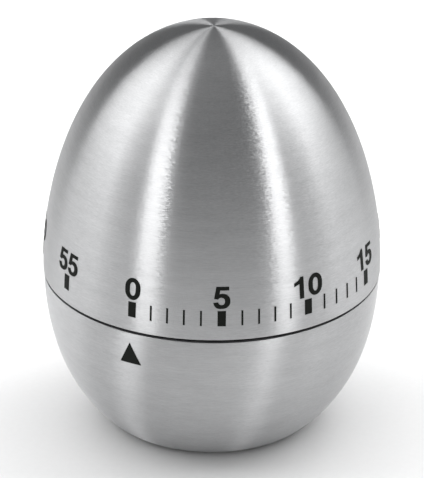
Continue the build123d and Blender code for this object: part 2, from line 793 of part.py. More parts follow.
def main_wheel():
    """The great wheel, free on the main arbor and driven by the click."""
    flank = wheel_flank(main_wheel_teeth, main_wheel_module)
    outline = toothed(main_wheel_teeth, flank, second_angle)
    wheel = prism(outline, main_wheel_bottom, main_wheel_top)
    wheel -= disc(main_arbor_radius + arbor_clearance, main_wheel_bottom, main_wheel_top)
    return wheel - disc(click_rivet_radius, main_wheel_bottom, main_wheel_top, click_pivot_spot())


def second_arbor():
    """The second arbor, long enough at the bottom for the strike star."""
    arbor = disc(second_arbor_radius, strike_bottom - end_play, upper_plate_bottom - end_play, second_spot)
    return arbor + disc(pivot_radius, upper_plate_bottom - end_play, upper_plate_top, second_spot)


def plain_arbor(radius, spot):
    """An arbor with a thin pivot in each plate."""
    arbor = disc(radius, lower_plate_top + end_play, upper_plate_bottom - end_play, spot)
    return arbor + disc(pivot_radius, lower_plate_bottom, upper_plate_top, spot)


def third_arbor():
    """The third arbor."""
    return plain_arbor(third_arbor_radius, third_spot)


def escape_arbor():
    """The escape arbor."""
    return plain_arbor(escape_arbor_radius, escape_spot)


def second_pinion():
    """Driven by the main wheel; its collar carries the second wheel."""
    wheel_bottom = lower_plate_top + second_wheel_lift
    leaves_bottom = main_wheel_bottom + main_wheel_thickness / 2 - pinion_length / 2
    return pinion(
        main_wheel_module, second_arbor_radius, second_spot, main_spot, leaves_bottom,
        wheel_bottom, leaves_bottom,
    )


def second_wheel():
    """Rides on the second pinion's collar and drives the third pinion."""
    bottom = lower_plate_top + second_wheel_lift
    bore = collar_radius(main_wheel_module)
    return spoked_wheel(second_wheel_teeth, second_wheel_module, second_spot, third_spot, bottom, bore)


def third_pinion():
    """Driven by the second wheel; its collar carries the third wheel."""
    wheel_bottom = lower_plate_top + third_wheel_lift
    leaves_bottom = lower_plate_top + second_wheel_lift + wheel_thickness / 2 - pinion_length / 2
    return pinion(
        second_wheel_module, third_arbor_radius, third_spot, second_spot, leaves_bottom,
        wheel_bottom, leaves_bottom,
    )


def third_wheel():
    """Rides on the third pinion's collar and drives the escape pinion."""
    bottom = lower_plate_top + third_wheel_lift
    bore = collar_radius(second_wheel_module)
    return spoked_wheel(third_wheel_teeth, third_wheel_module, third_spot, escape_spot, bottom, bore)


def escape_pinion():
    """Driven by the third wheel; its long collar reaches up to the escape wheel."""
    wheel_bottom = lower_plate_top + escape_wheel_lift
    leaves_bottom = lower_plate_top + third_wheel_lift + wheel_thickness / 2 - pinion_length / 2
    return pinion(
        third_wheel_module, escape_arbor_radius, escape_spot, third_spot, leaves_bottom,
        leaves_bottom + pinion_length, wheel_bottom + wheel_thickness,
    )


def escape_wheel():
    """Sixteen pointed teeth that lean towards the pins they push."""
    bottom = lower_plate_top + escape_wheel_lift
    first = direction(escape_spot, balance_spot)
    points = []
    for tooth in range(escape_teeth):
        tip = first + 360 / escape_teeth * tooth
        points += [
            polar(escape_root_radius, tip - escape_back_turn, escape_spot),
            polar(escape_radius, tip - escape_land, escape_spot),
            polar(escape_radius, tip, escape_spot),
            polar(escape_root_radius, tip + escape_face_turn, escape_spot),
        ]
    wheel = prism(points, bottom, bottom + wheel_thickness)
    return wheel - disc(collar_radius(third_wheel_module), bottom, bottom + wheel_thickness, escape_spot)


# --- Ratchet click ------------------------------------------------------------------------------------------
def click_pivot_spot():
    """Plan place of the click's rivet on the main wheel."""
    return polar(click_pivot_circle, click_pivot_angle)


def click():
    """The pawl whose nose sits behind a ratchet tooth."""
    spot = click_pivot_spot()
    top = ratchet_top
    heel_angle = click_pivot_angle - click_heel_turn
    underside = [
        polar(ratchet_root_radius + click_nose_gap, click_nose_angle),
        polar(ratchet_root_radius + click_belly_gap, click_belly_angle),
        polar(ratchet_radius + click_shoulder_gap, click_shoulder_angle),
        polar(click_pivot_circle - click_pivot_radius, heel_angle),
    ]
    back = [
        polar(click_pivot_circle + click_pivot_radius, heel_angle),
        polar(click_pivot_circle - click_back_drop, click_back_angle),
        polar(ratchet_radius + click_nose_rise, click_nose_back_angle),
    ]
    pawl = prism(underside + back, ratchet_bottom, top) + disc(click_pivot_radius, ratchet_bottom, top, spot)
    return pawl - disc(click_rivet_radius + pivot_clearance, ratchet_bottom, top, spot)


def click_rivet():
    """The headed pin that the click turns on."""
    spot = click_pivot_spot()
    head_bottom = ratchet_top + end_play
    rivet = disc(click_rivet_radius, main_wheel_bottom, head_bottom, spot)
    return rivet + disc(click_rivet_head_radius, head_bottom, head_bottom + click_rivet_head_height, spot)


def click_spring():
    """The bent leaf that stands behind the click, fixed on the main wheel."""
    bottom = main_wheel_top
    start_angle = click_pivot_angle + click_spring_foot_turn
    middle_angle = (start_angle + click_spring_end_angle) / 2
    half = click_spring_strip / 2
    leaf = ring(click_spring_circle + half, click_spring_circle - half, bottom, ratchet_top)
    reach = 2 * click_spring_circle
    wedge = [main_spot]
    wedge += [polar(reach, angle) for angle in (click_spring_end_angle, middle_angle, start_angle)]
    leaf &= prism(wedge, bottom, ratchet_top)
    foot = disc(click_spring_foot_radius, bottom, ratchet_top, polar(click_spring_circle, start_angle))
    return leaf + foot


# --- Balance ------------------------------------------------------------------------------------------------
def pallet_pin_spots():
    """Plan places of the two pins, each just clear of the escape wheel's tips."""
    line = direction(escape_spot, balance_spot)
    spread = 360 / escape_teeth * pallet_pin_gap_number
    reach = escape_radius + pallet_pin_radius + pallet_pin_clearance
    return [polar(reach, line + side * spread, escape_spot) for side in (-1, 1)]


def balance_staff():
    """The staff of the balance."""
    return plain_arbor(balance_staff_radius, balance_spot)


def balance_ring():
    """The brass ring whose inertia sets the beat, on two arms."""
    bottom = lower_plate_top + balance_ring_lift
    top = bottom + balance_ring_height
    inner = balance_ring_radius - balance_ring_width
    wheel = ring(balance_ring_radius, inner, bottom, top, balance_spot)
    arm_radius = balance_ring_radius - balance_ring_width / 2
    ends = [polar(arm_radius, balance_angle + side * 90, balance_spot) for side in (-1, 1)]
    wheel += bar_between(ends[0], ends[1], balance_ring_width, bottom, top)
    wheel += disc(2 * balance_staff_radius, bottom, top, balance_spot)
    return wheel - disc(balance_staff_radius, bottom, top, balance_spot)


def pallet_anchor():
    """The arm under the escape wheel, with a hole for each pin."""
    top = lower_plate_top + escape_wheel_lift - pallet_arm_gap
    bottom = top - pallet_arm_thickness
    arm = disc(2 * balance_staff_radius, bottom, top, balance_spot)
    for spot in pallet_pin_spots():
        arm += bar_between(balance_spot, spot, pallet_arm_width, bottom, top)
    for spot in pallet_pin_spots():
        arm -= disc(pallet_pin_radius, bottom, top, spot)
    return arm - disc(balance_staff_radius, bottom, top, balance_spot)


def pallet_pins():
    """The two hard steel pins that the escape wheel's teeth push aside."""
    arm_bottom = lower_plate_top + escape_wheel_lift - pallet_arm_gap - pallet_arm_thickness
    top = lower_plate_top + escape_wheel_lift + wheel_thickness + pallet_arm_gap
    return group(disc(pallet_pin_radius, arm_bottom, top, spot) for spot in pallet_pin_spots())


# --- Strike work --------------------------------------------------------------------------------------------
def nib_spot(wheel_spot, wheel_radius):
    """The tip of a lever nib that just clears a wheel and moves straight at the wheel's centre."""
    distance = math.dist(hammer_spot, wheel_spot)
    clear = wheel_radius + nib_clearance
    reach = math.sqrt(distance**2 - clear**2)
    lean = math.degrees(math.asin(clear / distance))
    return polar(reach, direction(hammer_spot, wheel_spot) + lean, hammer_spot)


def lock_cam():
    """The cam on the main arbor whose one notch lets the hammer go at zero."""
    cam = disc(lock_cam_radius, strike_bottom, strike_top)
    cam += disc(lock_cam_hub_radius, strike_top, lower_plate_bottom - end_play)
    notch_angle = direction(main_spot, nib_spot(main_spot, lock_cam_radius))
    notch = Pos(lock_cam_radius, 0, strike_bottom) * Box(
        2 * lock_notch_depth, lock_notch_width, strike_thickness,
        align=(Align.CENTER, Align.CENTER, Align.MIN),
    )
    cam -= Rot(0, 0, notch_angle) * notch
    return cam - disc(main_arbor_radius, strike_bottom, lower_plate_bottom - end_play)


def strike_star():
    """The star under the second arbor whose points flick the hammer's lever."""
    gap_angle = direction(second_spot, nib_spot(second_spot, star_radius))
    flank = [(star_root_radius, star_root_half_angle), (star_radius, star_tip_half_angle)]
    points = toothed(star_teeth, flank, gap_angle + 180 / star_teeth, second_spot)
    star = prism(points, strike_bottom, strike_top)
    star += disc(star_hub_radius, strike_top, lower_plate_bottom - end_play, second_spot)
    return star - disc(second_arbor_radius, strike_bottom, lower_plate_bottom - end_play, second_spot)


def hammer_post():
    """The headed stud under the lower plate that the lever turns on."""
    head_bottom = strike_bottom - end_play - hammer_post_head_height
    post = disc(hammer_post_radius, head_bottom, lower_plate_top, hammer_spot)
    return post + disc(hammer_post_head_radius, head_bottom, strike_bottom - end_play, hammer_spot)


def hammer_head_spot():
    """Plan place of the hammer's head while the cam holds it off the bell."""
    radius = bell_radius - bell_wall - hammer_lift_gap - hammer_head_radius
    return polar(radius, hammer_head_angle)


def lever_levels():
    """Heights of the lever's underside and top, in the middle of the cam's thickness."""
    middle = (strike_bottom + strike_top) / 2
    return middle - lever_thickness / 2, middle + lever_thickness / 2


def strike_lever():
    """The steel lever with one nib on the lock cam, one on the star, and an arm for the hammer."""
    bottom, top = lever_levels()
    hub_top = lower_plate_bottom - end_play
    lever = disc(hammer_hub_radius, strike_bottom, hub_top, hammer_spot)
    lever += bar_between(hammer_spot, hammer_head_spot(), lever_width, bottom, top)
    for wheel_spot, wheel_radius in ((main_spot, lock_cam_radius), (second_spot, star_radius)):
        tip = nib_spot(wheel_spot, wheel_radius)
        outward = direction(wheel_spot, tip)
        elbow = polar(nib_reach, outward, tip)
        lever += bar_between(hammer_spot, elbow, nib_arm_width, bottom, top)
        nib_end = polar(nib_width / 2, outward, tip)
        lever += bar_between(nib_end, elbow, nib_width, bottom, top)
    lever -= disc(hammer_pin_radius, bottom, top, hammer_head_spot())
    return lever - disc(hammer_post_radius + pivot_clearance, strike_bottom, hub_top, hammer_spot)


def hammer_pin():
    """The wire that hangs the head under the lever's arm."""
    return disc(hammer_pin_radius, bell_rim - hammer_head_drop, lever_levels()[1], hammer_head_spot())


def hammer_head():
    """The brass ball that strikes the bell's wall."""
    spot = hammer_head_spot()
    height = bell_rim - hammer_head_drop
    ball = Pos(spot[0], spot[1], height) * Sphere(hammer_head_radius)
    return ball - disc(hammer_pin_radius, height, height + hammer_head_radius, spot)


def hammer_spring():
    """The leaf on its stud that pushes the lever's arm towards the bell."""
    bottom, top = lever_levels()
    stud = hammer_spring_stud_spot()
    along = direction(hammer_spot, hammer_head_spot())
    arm_length = math.dist(hammer_spot, hammer_head_spot())
    middle = polar(arm_length * hammer_spring_reach, along, hammer_spot)
    side_step = lever_width / 2 + hammer_spring_gap + hammer_spring_strip / 2
    tip = polar(side_step, along + 90, middle)
    leaf = bar_between(stud, tip, hammer_spring_strip, bottom, top)
    return leaf + disc(hammer_spring_stud_radius, bottom, lower_plate_top, stud)


# --- Printed marks ------------------------------------------------------------------------------------------
def print_layer(inset):
    """The thin skin of ink on a shell, as a hollow egg."""
    return egg(inset - print_clearance - print_thickness) - egg(inset - print_clearance)


def outward_plane(angle, height):
    """A plane through the axis that faces outwards at a plan angle, with its x to the reader's right."""
    x, y = polar(1.0, angle)
    return Plane(origin=(0, 0, height), x_dir=(-y, x, 0), z_dir=(x, y, 0))


def stamped(sketch, angle, height, layer):
    """A flat mark pressed outwards on to a layer of ink."""
    return layer & extrude(outward_plane(angle, height) * sketch, amount=egg_width)


def numeral(figure):
    """One figure of the dial, drawn with a stroke of even width, its middle at the origin."""
    half_width = (numeral_width - numeral_stroke) / 2
    half_height = (numeral_height - numeral_stroke) / 2
    if figure == "0":
        outer = Ellipse(numeral_width / 2, numeral_height / 2)
        return outer - Ellipse(numeral_width / 2 - numeral_stroke, numeral_height / 2 - numeral_stroke)
    if figure == "1":
        stem_x = half_width * stem_share
        stem = Line((stem_x, -numeral_height / 2), (stem_x, numeral_height / 2))
        flag = Line((stem_x, half_height), (-half_width * flag_reach, half_height * flag_drop))
        return trace(stem, numeral_stroke) + trace(flag, numeral_thin_stroke)
    if figure == "2":
        hook = CenterArc((0, half_height - half_width), half_width, two_hook_start, -two_hook_sweep)
        slant = Line(hook @ 1, (-half_width, -half_height))
        foot = Line((-numeral_width / 2, -half_height), (numeral_width / 2, -half_height))
        return trace(hook + slant, numeral_stroke) + trace(foot, numeral_stroke)
    if figure == "3":
        bowl = half_height / 2
        top = CenterArc((0, bowl), bowl, three_top_start, -three_bowl_sweep)
        bottom = CenterArc((0, -bowl), bowl, three_bottom_start, -three_bowl_sweep)
        return trace(top, numeral_stroke) + trace(bottom, numeral_stroke)
    if figure == "4":
        stem_x = half_width * stem_share
        bar_y = -half_height * four_bar_drop
        stem = Line((stem_x, -numeral_height / 2), (stem_x, numeral_height / 2))
        slant = Line((stem_x, half_height), (-half_width, bar_y))
        bar = Line((-numeral_width / 2, bar_y), (numeral_width / 2, bar_y))
        return trace(stem, numeral_stroke) + trace(slant, numeral_thin_stroke) + trace(bar, numeral_stroke)
    bowl_y = half_width - half_height
    back_top = (-half_width * five_back_top, half_height + numeral_stroke / 2)
    back_foot = (-half_width * five_back_foot, bowl_y + half_width * five_back_end)
    roof = Line((half_width, half_height), (-half_width * five_back_top, half_height))
    belly = CenterArc((0, bowl_y), half_width, five_belly_start, -five_belly_sweep)
    back = trace(Line(back_top, back_foot), numeral_thin_stroke)
    return trace(roof, numeral_stroke) + back + trace(belly, numeral_stroke)


def minute_scale():
    """The printed bars, ticks and numerals round the dial shell."""
    layer = print_layer(0)
    bar_middle = bar_bottom_height + bar_length / 2
    marks = []
    for mark in range(hour_marks):
        angle = zero_angle + 360 / hour_marks * mark
        marks.append(stamped(Rectangle(bar_width, bar_length), angle, bar_middle, layer))
        figures = str(60 // hour_marks * mark)
        for place, figure in enumerate(figures):
            shift = numeral_advance * (place - (len(figures) - 1) / 2)
            sketch = Pos(shift, 0) * numeral(figure)
            marks.append(stamped(sketch, angle, numeral_bottom + numeral_height / 2, layer))
    for space in range(ticked_spaces):
        for tick in range(ticks_between_bars):
            offset = tick_pitch_angle * (tick - (ticks_between_bars - 1) / 2)
            angle = zero_angle + 360 / hour_marks * (space + 0.5) + offset
            marks.append(stamped(Rectangle(tick_width, bar_length), angle, bar_middle, layer))
    return group(marks)


def pointer_mark():
    """The printed triangle on the base shell that the scale is read against."""
    apex = seam_height - pointer_drop
    half = pointer_width / 2
    triangle = Polygon((-half, -pointer_height), (half, -pointer_height), (0, 0), align=None)
    return stamped(triangle, zero_angle + pointer_turn, apex, print_layer(base_inset))


# --- Writing ------------------------------------------------------------------------------------------------
sub_parts = (
    dial_shell, base_shell, movement_liner, bottom_cover, foot_ring, cover_screws,
    bell_post, bell, bell_screw,
    lower_plate, upper_plate, plate_pillars, plate_screws, movement_screws, main_bushes,
    main_arbor, arbor_clip, ratchet_wheel, mainspring, spring_post, dial_core,
    main_wheel, click, click_rivet, click_spring,
    second_arbor, second_pinion, second_wheel, third_arbor, third_pinion, third_wheel,
    escape_arbor, escape_pinion, escape_wheel, balance_staff, balance_ring, pallet_anchor, pallet_pins,
    lock_cam, strike_star, hammer_post, strike_lever, hammer_pin, hammer_head, hammer_spring,
    minute_scale, pointer_mark,
)

os.makedirs("parts", exist_ok=True)
for sub_part in sub_parts:
    export_step(sub_part(), f"parts/{sub_part.__name__}.step")
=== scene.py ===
import math

import bpy
from mathutils import Matrix, Vector


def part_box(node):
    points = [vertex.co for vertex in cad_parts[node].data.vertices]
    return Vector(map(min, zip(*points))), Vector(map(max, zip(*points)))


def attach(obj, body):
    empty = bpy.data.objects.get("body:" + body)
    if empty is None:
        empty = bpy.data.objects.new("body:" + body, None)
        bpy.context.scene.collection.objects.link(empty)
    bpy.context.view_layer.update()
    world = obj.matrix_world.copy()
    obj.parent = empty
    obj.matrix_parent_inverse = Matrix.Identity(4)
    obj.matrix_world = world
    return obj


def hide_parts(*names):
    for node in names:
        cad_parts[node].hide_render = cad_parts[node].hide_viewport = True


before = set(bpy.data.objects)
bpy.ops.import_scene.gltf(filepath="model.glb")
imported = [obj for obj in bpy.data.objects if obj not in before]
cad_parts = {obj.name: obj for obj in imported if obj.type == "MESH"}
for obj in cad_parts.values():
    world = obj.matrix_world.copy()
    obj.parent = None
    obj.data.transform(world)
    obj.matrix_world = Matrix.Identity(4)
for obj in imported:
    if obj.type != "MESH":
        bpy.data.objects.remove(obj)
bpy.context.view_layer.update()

# --- Camera -------------------------------------------------------------------------------------------------
# A long lens looks down on the timer a little from the right of its pointer, so that the dial reads
# from 55 to 15 minutes.
camera_target = Vector((0, 0, 0.0334))
camera_azimuth = math.radians(26.63)
camera_elevation = math.radians(25.39)
camera_distance = 0.4667
camera_roll = math.radians(0.526)
camera_lens = 197.7
camera_film_width = 36.0
camera_nearest = 0.01
camera_back = Vector((
    math.sin(camera_azimuth) * math.cos(camera_elevation),
    -math.cos(camera_azimuth) * math.cos(camera_elevation),
    math.sin(camera_elevation),
))
bpy.ops.object.select_all(action="DESELECT")
bpy.ops.object.camera_add(location=camera_target + camera_distance * camera_back)
camera = bpy.context.object
camera.name = "camera"
camera.rotation_euler = (
    (-camera_back).to_track_quat("-Z", "Y").to_matrix() @ Matrix.Rotation(camera_roll, 3, "Z")
).to_euler()
camera.data.lens = camera_lens
camera.data.sensor_width = camera_film_width
camera.data.clip_start = camera_nearest
bpy.context.scene.camera = camera

# --- Studio floor -------------------------------------------------------------------------------------------
# A wide round sheet of matt white card, with a faint paper grain. The timer stands on its middle.
floor_radius = 4.0
floor_rings = (0.5, 0.4, 0.3)
bpy.ops.mesh.primitive_circle_add(vertices=96, radius=floor_radius, fill_type="NGON", location=(0, 0, 0))
floor = bpy.context.object
floor.name = "studio_floor"
bpy.ops.object.mode_set(mode="EDIT")
for ring_width in floor_rings:
    bpy.ops.mesh.inset(thickness=ring_width)
bpy.ops.object.mode_set(mode="OBJECT")
card = bpy.data.materials.new("white_card")
card.use_nodes = True
card_nodes = card.node_tree.nodes
card_links = card.node_tree.links
card_surface = card_nodes["Principled BSDF"]
card_surface.inputs["Roughness"].default_value = 0.9
card_surface.inputs["Specular IOR Level"].default_value = 0.1
card_place = card_nodes.new("ShaderNodeTexCoord")
card_grain = card_nodes.new("ShaderNodeTexNoise")
card_grain.inputs["Scale"].default_value = 900.0
card_tone = card_nodes.new("ShaderNodeValToRGB")
card_tone.color_ramp.elements[0].color = (0.72, 0.72, 0.72, 1)
card_tone.color_ramp.elements[1].color = (0.75, 0.75, 0.75, 1)
card_links.new(card_place.outputs["Object"], card_grain.inputs["Vector"])
card_links.new(card_grain.outputs["Fac"], card_tone.inputs["Fac"])
card_links.new(card_tone.outputs["Color"], card_surface.inputs["Base Color"])
floor.data.materials.append(card)

# --- Studio light -------------------------------------------------------------------------------------------
# Round steel brushed along its rings shows a lamp as a stripe from pole to pole. Two banks of narrow
# softboxes lean so that each makes one stripe, and the gap between them keeps the middle dark. Two large
# softboxes light the sides and one fills the crown. Two lamps that the steel doesn't mirror light the floor.
def plan_direction(turn):
    """The level direction at an azimuth from the camera's, in degrees to its right."""
    azimuth = camera_azimuth + math.radians(turn)
    return Vector((math.sin(azimuth), -math.cos(azimuth), 0))


def softbox(name, out, up, distance, width, height, power):
    """A soft area light out from the timer, facing it, with its height along up."""
    bpy.ops.object.light_add(type="AREA", location=camera_target + distance * out)
    light = bpy.context.object
    light.name = name
    side = up.cross(out).normalized()
    light.rotation_euler = Matrix((side, out.cross(side), out)).transposed().to_euler()
    light.data.shape = "RECTANGLE"
    light.data.size = width
    light.data.size_y = height
    light.data.energy = power
    light.visible_camera = False
    return light


def panel(name, turn, lift, width, height, power, distance=1.0):
    """An upright softbox at an azimuth and an elevation."""
    rise = math.radians(lift)
    out = plan_direction(turn) * math.cos(rise) + Vector((0, 0, math.sin(rise)))
    return softbox(name, out, Vector((0, 0, 1)), distance, width, height, power)


box_angle = 27.0
bank_distance = 1.0


def stripe_bank(name, turn, width, powers):
    """Softboxes end to end along the directions that the shell's meridian at turn mirrors to the camera."""
    along_rings = plan_direction(turn + 90)
    outward = plan_direction(turn)
    share = math.cos(camera_elevation) * math.sin(math.radians(turn))
    spread = math.sqrt(1 - share**2)
    for number, power in enumerate(powers):
        climb = math.radians(box_angle * (number + 0.5))
        out = share * along_rings + spread * (outward * math.cos(climb) + Vector((0, 0, math.sin(climb))))
        up = Vector((0, 0, math.cos(climb))) - outward * math.sin(climb)
        height = bank_distance * spread * math.radians(box_angle)
        softbox(f"{name}_{number}", out, up, bank_distance, width, height, power)


stripe_bank("left_stripe", -22, 0.26, (1.3, 0.85, 0.55, 0.4))
stripe_bank("right_stripe", 25.5, 0.22, (1.1, 0.75, 0.5, 0.35))
panel("left_panel", -104, 38, 0.90, 0.90, 6.0)
panel("right_panel", 112, 42, 0.85, 0.80, 6.2)
back_light = panel("back_light", 180, 48, 0.5, 0.3, 0.75, distance=0.42)
back_light.visible_glossy = False
floor_light = panel("floor_light", 180, 80, 1.5, 1.5, 7.0, distance=1.2)
floor_light.visible_glossy = False
panel("crown_fill", 180, 85, 0.42, 0.9, 0.35)

bpy.context.scene.world = bpy.data.worlds.new("studio_air")
bpy.context.scene.world.use_nodes = True
air = bpy.context.scene.world.node_tree.nodes["Background"]
air.inputs["Color"].default_value = (0.86, 0.87, 0.88, 1)
air.inputs["Strength"].default_value = 0.24
bpy.context.scene.view_settings.view_transform = "Standard"

# --- Shell outline ------------------------------------------------------------------------------------------
# Both steel shells follow one egg outline. It is an ellipse that is fuller at both ends and narrower
# at the top, and its widest circle lies just above the seam.
MM = 0.001
dial_low, dial_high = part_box("dial_shell")
egg_half_height = 40 * MM
egg_middle = dial_high.z - egg_half_height
egg_taper = -0.102
egg_fullness = 0.096


def swollen(sine):
    """The outline's swelling over a plain ellipse, from the sine of its angle."""
    return 1 + egg_taper * sine + egg_fullness * sine**2


trial_angles = [math.radians(tenth / 10) for tenth in range(-900, 901)]
widest_share = max(math.cos(angle) * swollen(math.sin(angle)) for angle in trial_angles)
egg_scale = (dial_high.x - dial_low.x) / 2 / widest_share


def egg_point(angle, inset):
    """Radius and height of the outline at an angle in degrees from -90, the bottom, to 90, the top."""
    sine, cosine = math.sin(math.radians(angle)), math.cos(math.radians(angle))
    swell = swollen(sine)
    run = egg_scale * (cosine**2 * (egg_taper + 2 * egg_fullness * sine) - sine * swell)
    rise = egg_half_height * cosine
    slope_length = math.hypot(run, rise)
    radius = egg_scale * cosine * swell - inset * rise / slope_length
    return max(radius, 0.0), egg_middle + egg_half_height * sine + inset * run / slope_length


def egg_angle(height, inset):
    """The outline's angle at a height, found by halving the range."""
    low, high = -90.0, 90.0
    for _ in range(50):
        middle = (low + high) / 2
        if egg_point(middle, inset)[1] < height:
            low = middle
        else:
            high = middle
    return low


def egg_run(bottom, top, inset, steps):
    """Points of the outline between two heights, from the bottom up."""
    start, end = egg_angle(bottom, inset), egg_angle(top, inset)
    return [egg_point(start + (end - start) * step / steps, inset) for step in range(steps + 1)]


def rounded(before, corner, after, radius, steps):
    """The points of an arc that takes the place of a section's corner."""
    corner_place = Vector(corner)
    inward = (Vector(before) - corner_place).normalized()
    onward = (Vector(after) - corner_place).normalized()
    half_angle = inward.angle(onward) / 2
    reach = radius / math.tan(half_angle)
    centre = corner_place + (inward + onward).normalized() * radius / math.sin(half_angle)
    first = corner_place + inward * reach - centre
    last = corner_place + onward * reach - centre
    points = []
    for step in range(steps + 1):
        share = step / steps
        ray = (first * (1 - share) + last * share).normalized() * radius
        points.append(tuple(centre + ray))
    return points


def softened(corners, steps=4):
    """A closed section from corners of (radius, height, rounding)."""
    points = []
    for number, (x, z, rounding) in enumerate(corners):
        before = corners[number - 1][:2]
        after = corners[(number + 1) % len(corners)][:2]
        if rounding:
            points += rounded(before, (x, z), after, rounding, steps)
        else:
            points.append((x, z))
    return points


weld = 0.001 * MM
smooth_limit = math.radians(30)


def turned(name, section, steps):
    """A round piece: its closed section is drawn point by point from one vertex and spun round the axis."""
    bpy.ops.object.select_all(action="DESELECT")
    bpy.ops.mesh.primitive_plane_add(size=MM, location=(0, 0, 0))
    piece = bpy.context.object
    piece.name = name
    piece.data.name = name
    bpy.ops.object.mode_set(mode="EDIT")
    bpy.ops.mesh.select_all(action="SELECT")
    bpy.ops.mesh.merge(type="CENTER")
    bpy.ops.transform.translate(value=(section[0][0], 0, section[0][1]))
    for start, end in zip(section, section[1:] + section[:1]):
        step = (end[0] - start[0], 0, end[1] - start[1])
        bpy.ops.mesh.extrude_vertices_move(TRANSFORM_OT_translate={"value": step})
    bpy.ops.mesh.select_all(action="SELECT")
    bpy.ops.mesh.remove_doubles(threshold=weld)
    bpy.ops.mesh.spin(steps=steps, angle=2 * math.pi, center=(0, 0, 0), axis=(0, 0, 1))
    bpy.ops.mesh.select_all(action="SELECT")
    bpy.ops.mesh.remove_doubles(threshold=weld)
    bpy.ops.mesh.normals_make_consistent(inside=False)
    bpy.ops.object.mode_set(mode="OBJECT")
    bpy.ops.object.shade_smooth_by_angle(angle=smooth_limit)
    return piece


# --- Brushed stainless steel --------------------------------------------------------------------------------
# The shells are brushed while they spin, so fine scratches run round them. Light spreads across the
# scratches and stays sharp along them, which draws every lamp out into a stripe from pole to pole.
def steel_nodes(name):
    """A metal material with its nodes, links and surface shader."""
    material = bpy.data.materials.new(name)
    material.use_nodes = True
    tree = material.node_tree
    surface = tree.nodes["Principled BSDF"]
    surface.inputs["Metallic"].default_value = 1.0
    return material, tree.nodes, tree.links, surface


def maths(nodes, links, operation, first, second=None):
    """A Math node on one or two values, each a socket or a number."""
    node = nodes.new("ShaderNodeMath")
    node.operation = operation
    for socket, value in zip(node.inputs, (first, second)):
        if isinstance(value, bpy.types.NodeSocket):
            links.new(value, socket)
        elif value is not None:
            socket.default_value = value
    return node.outputs["Value"]


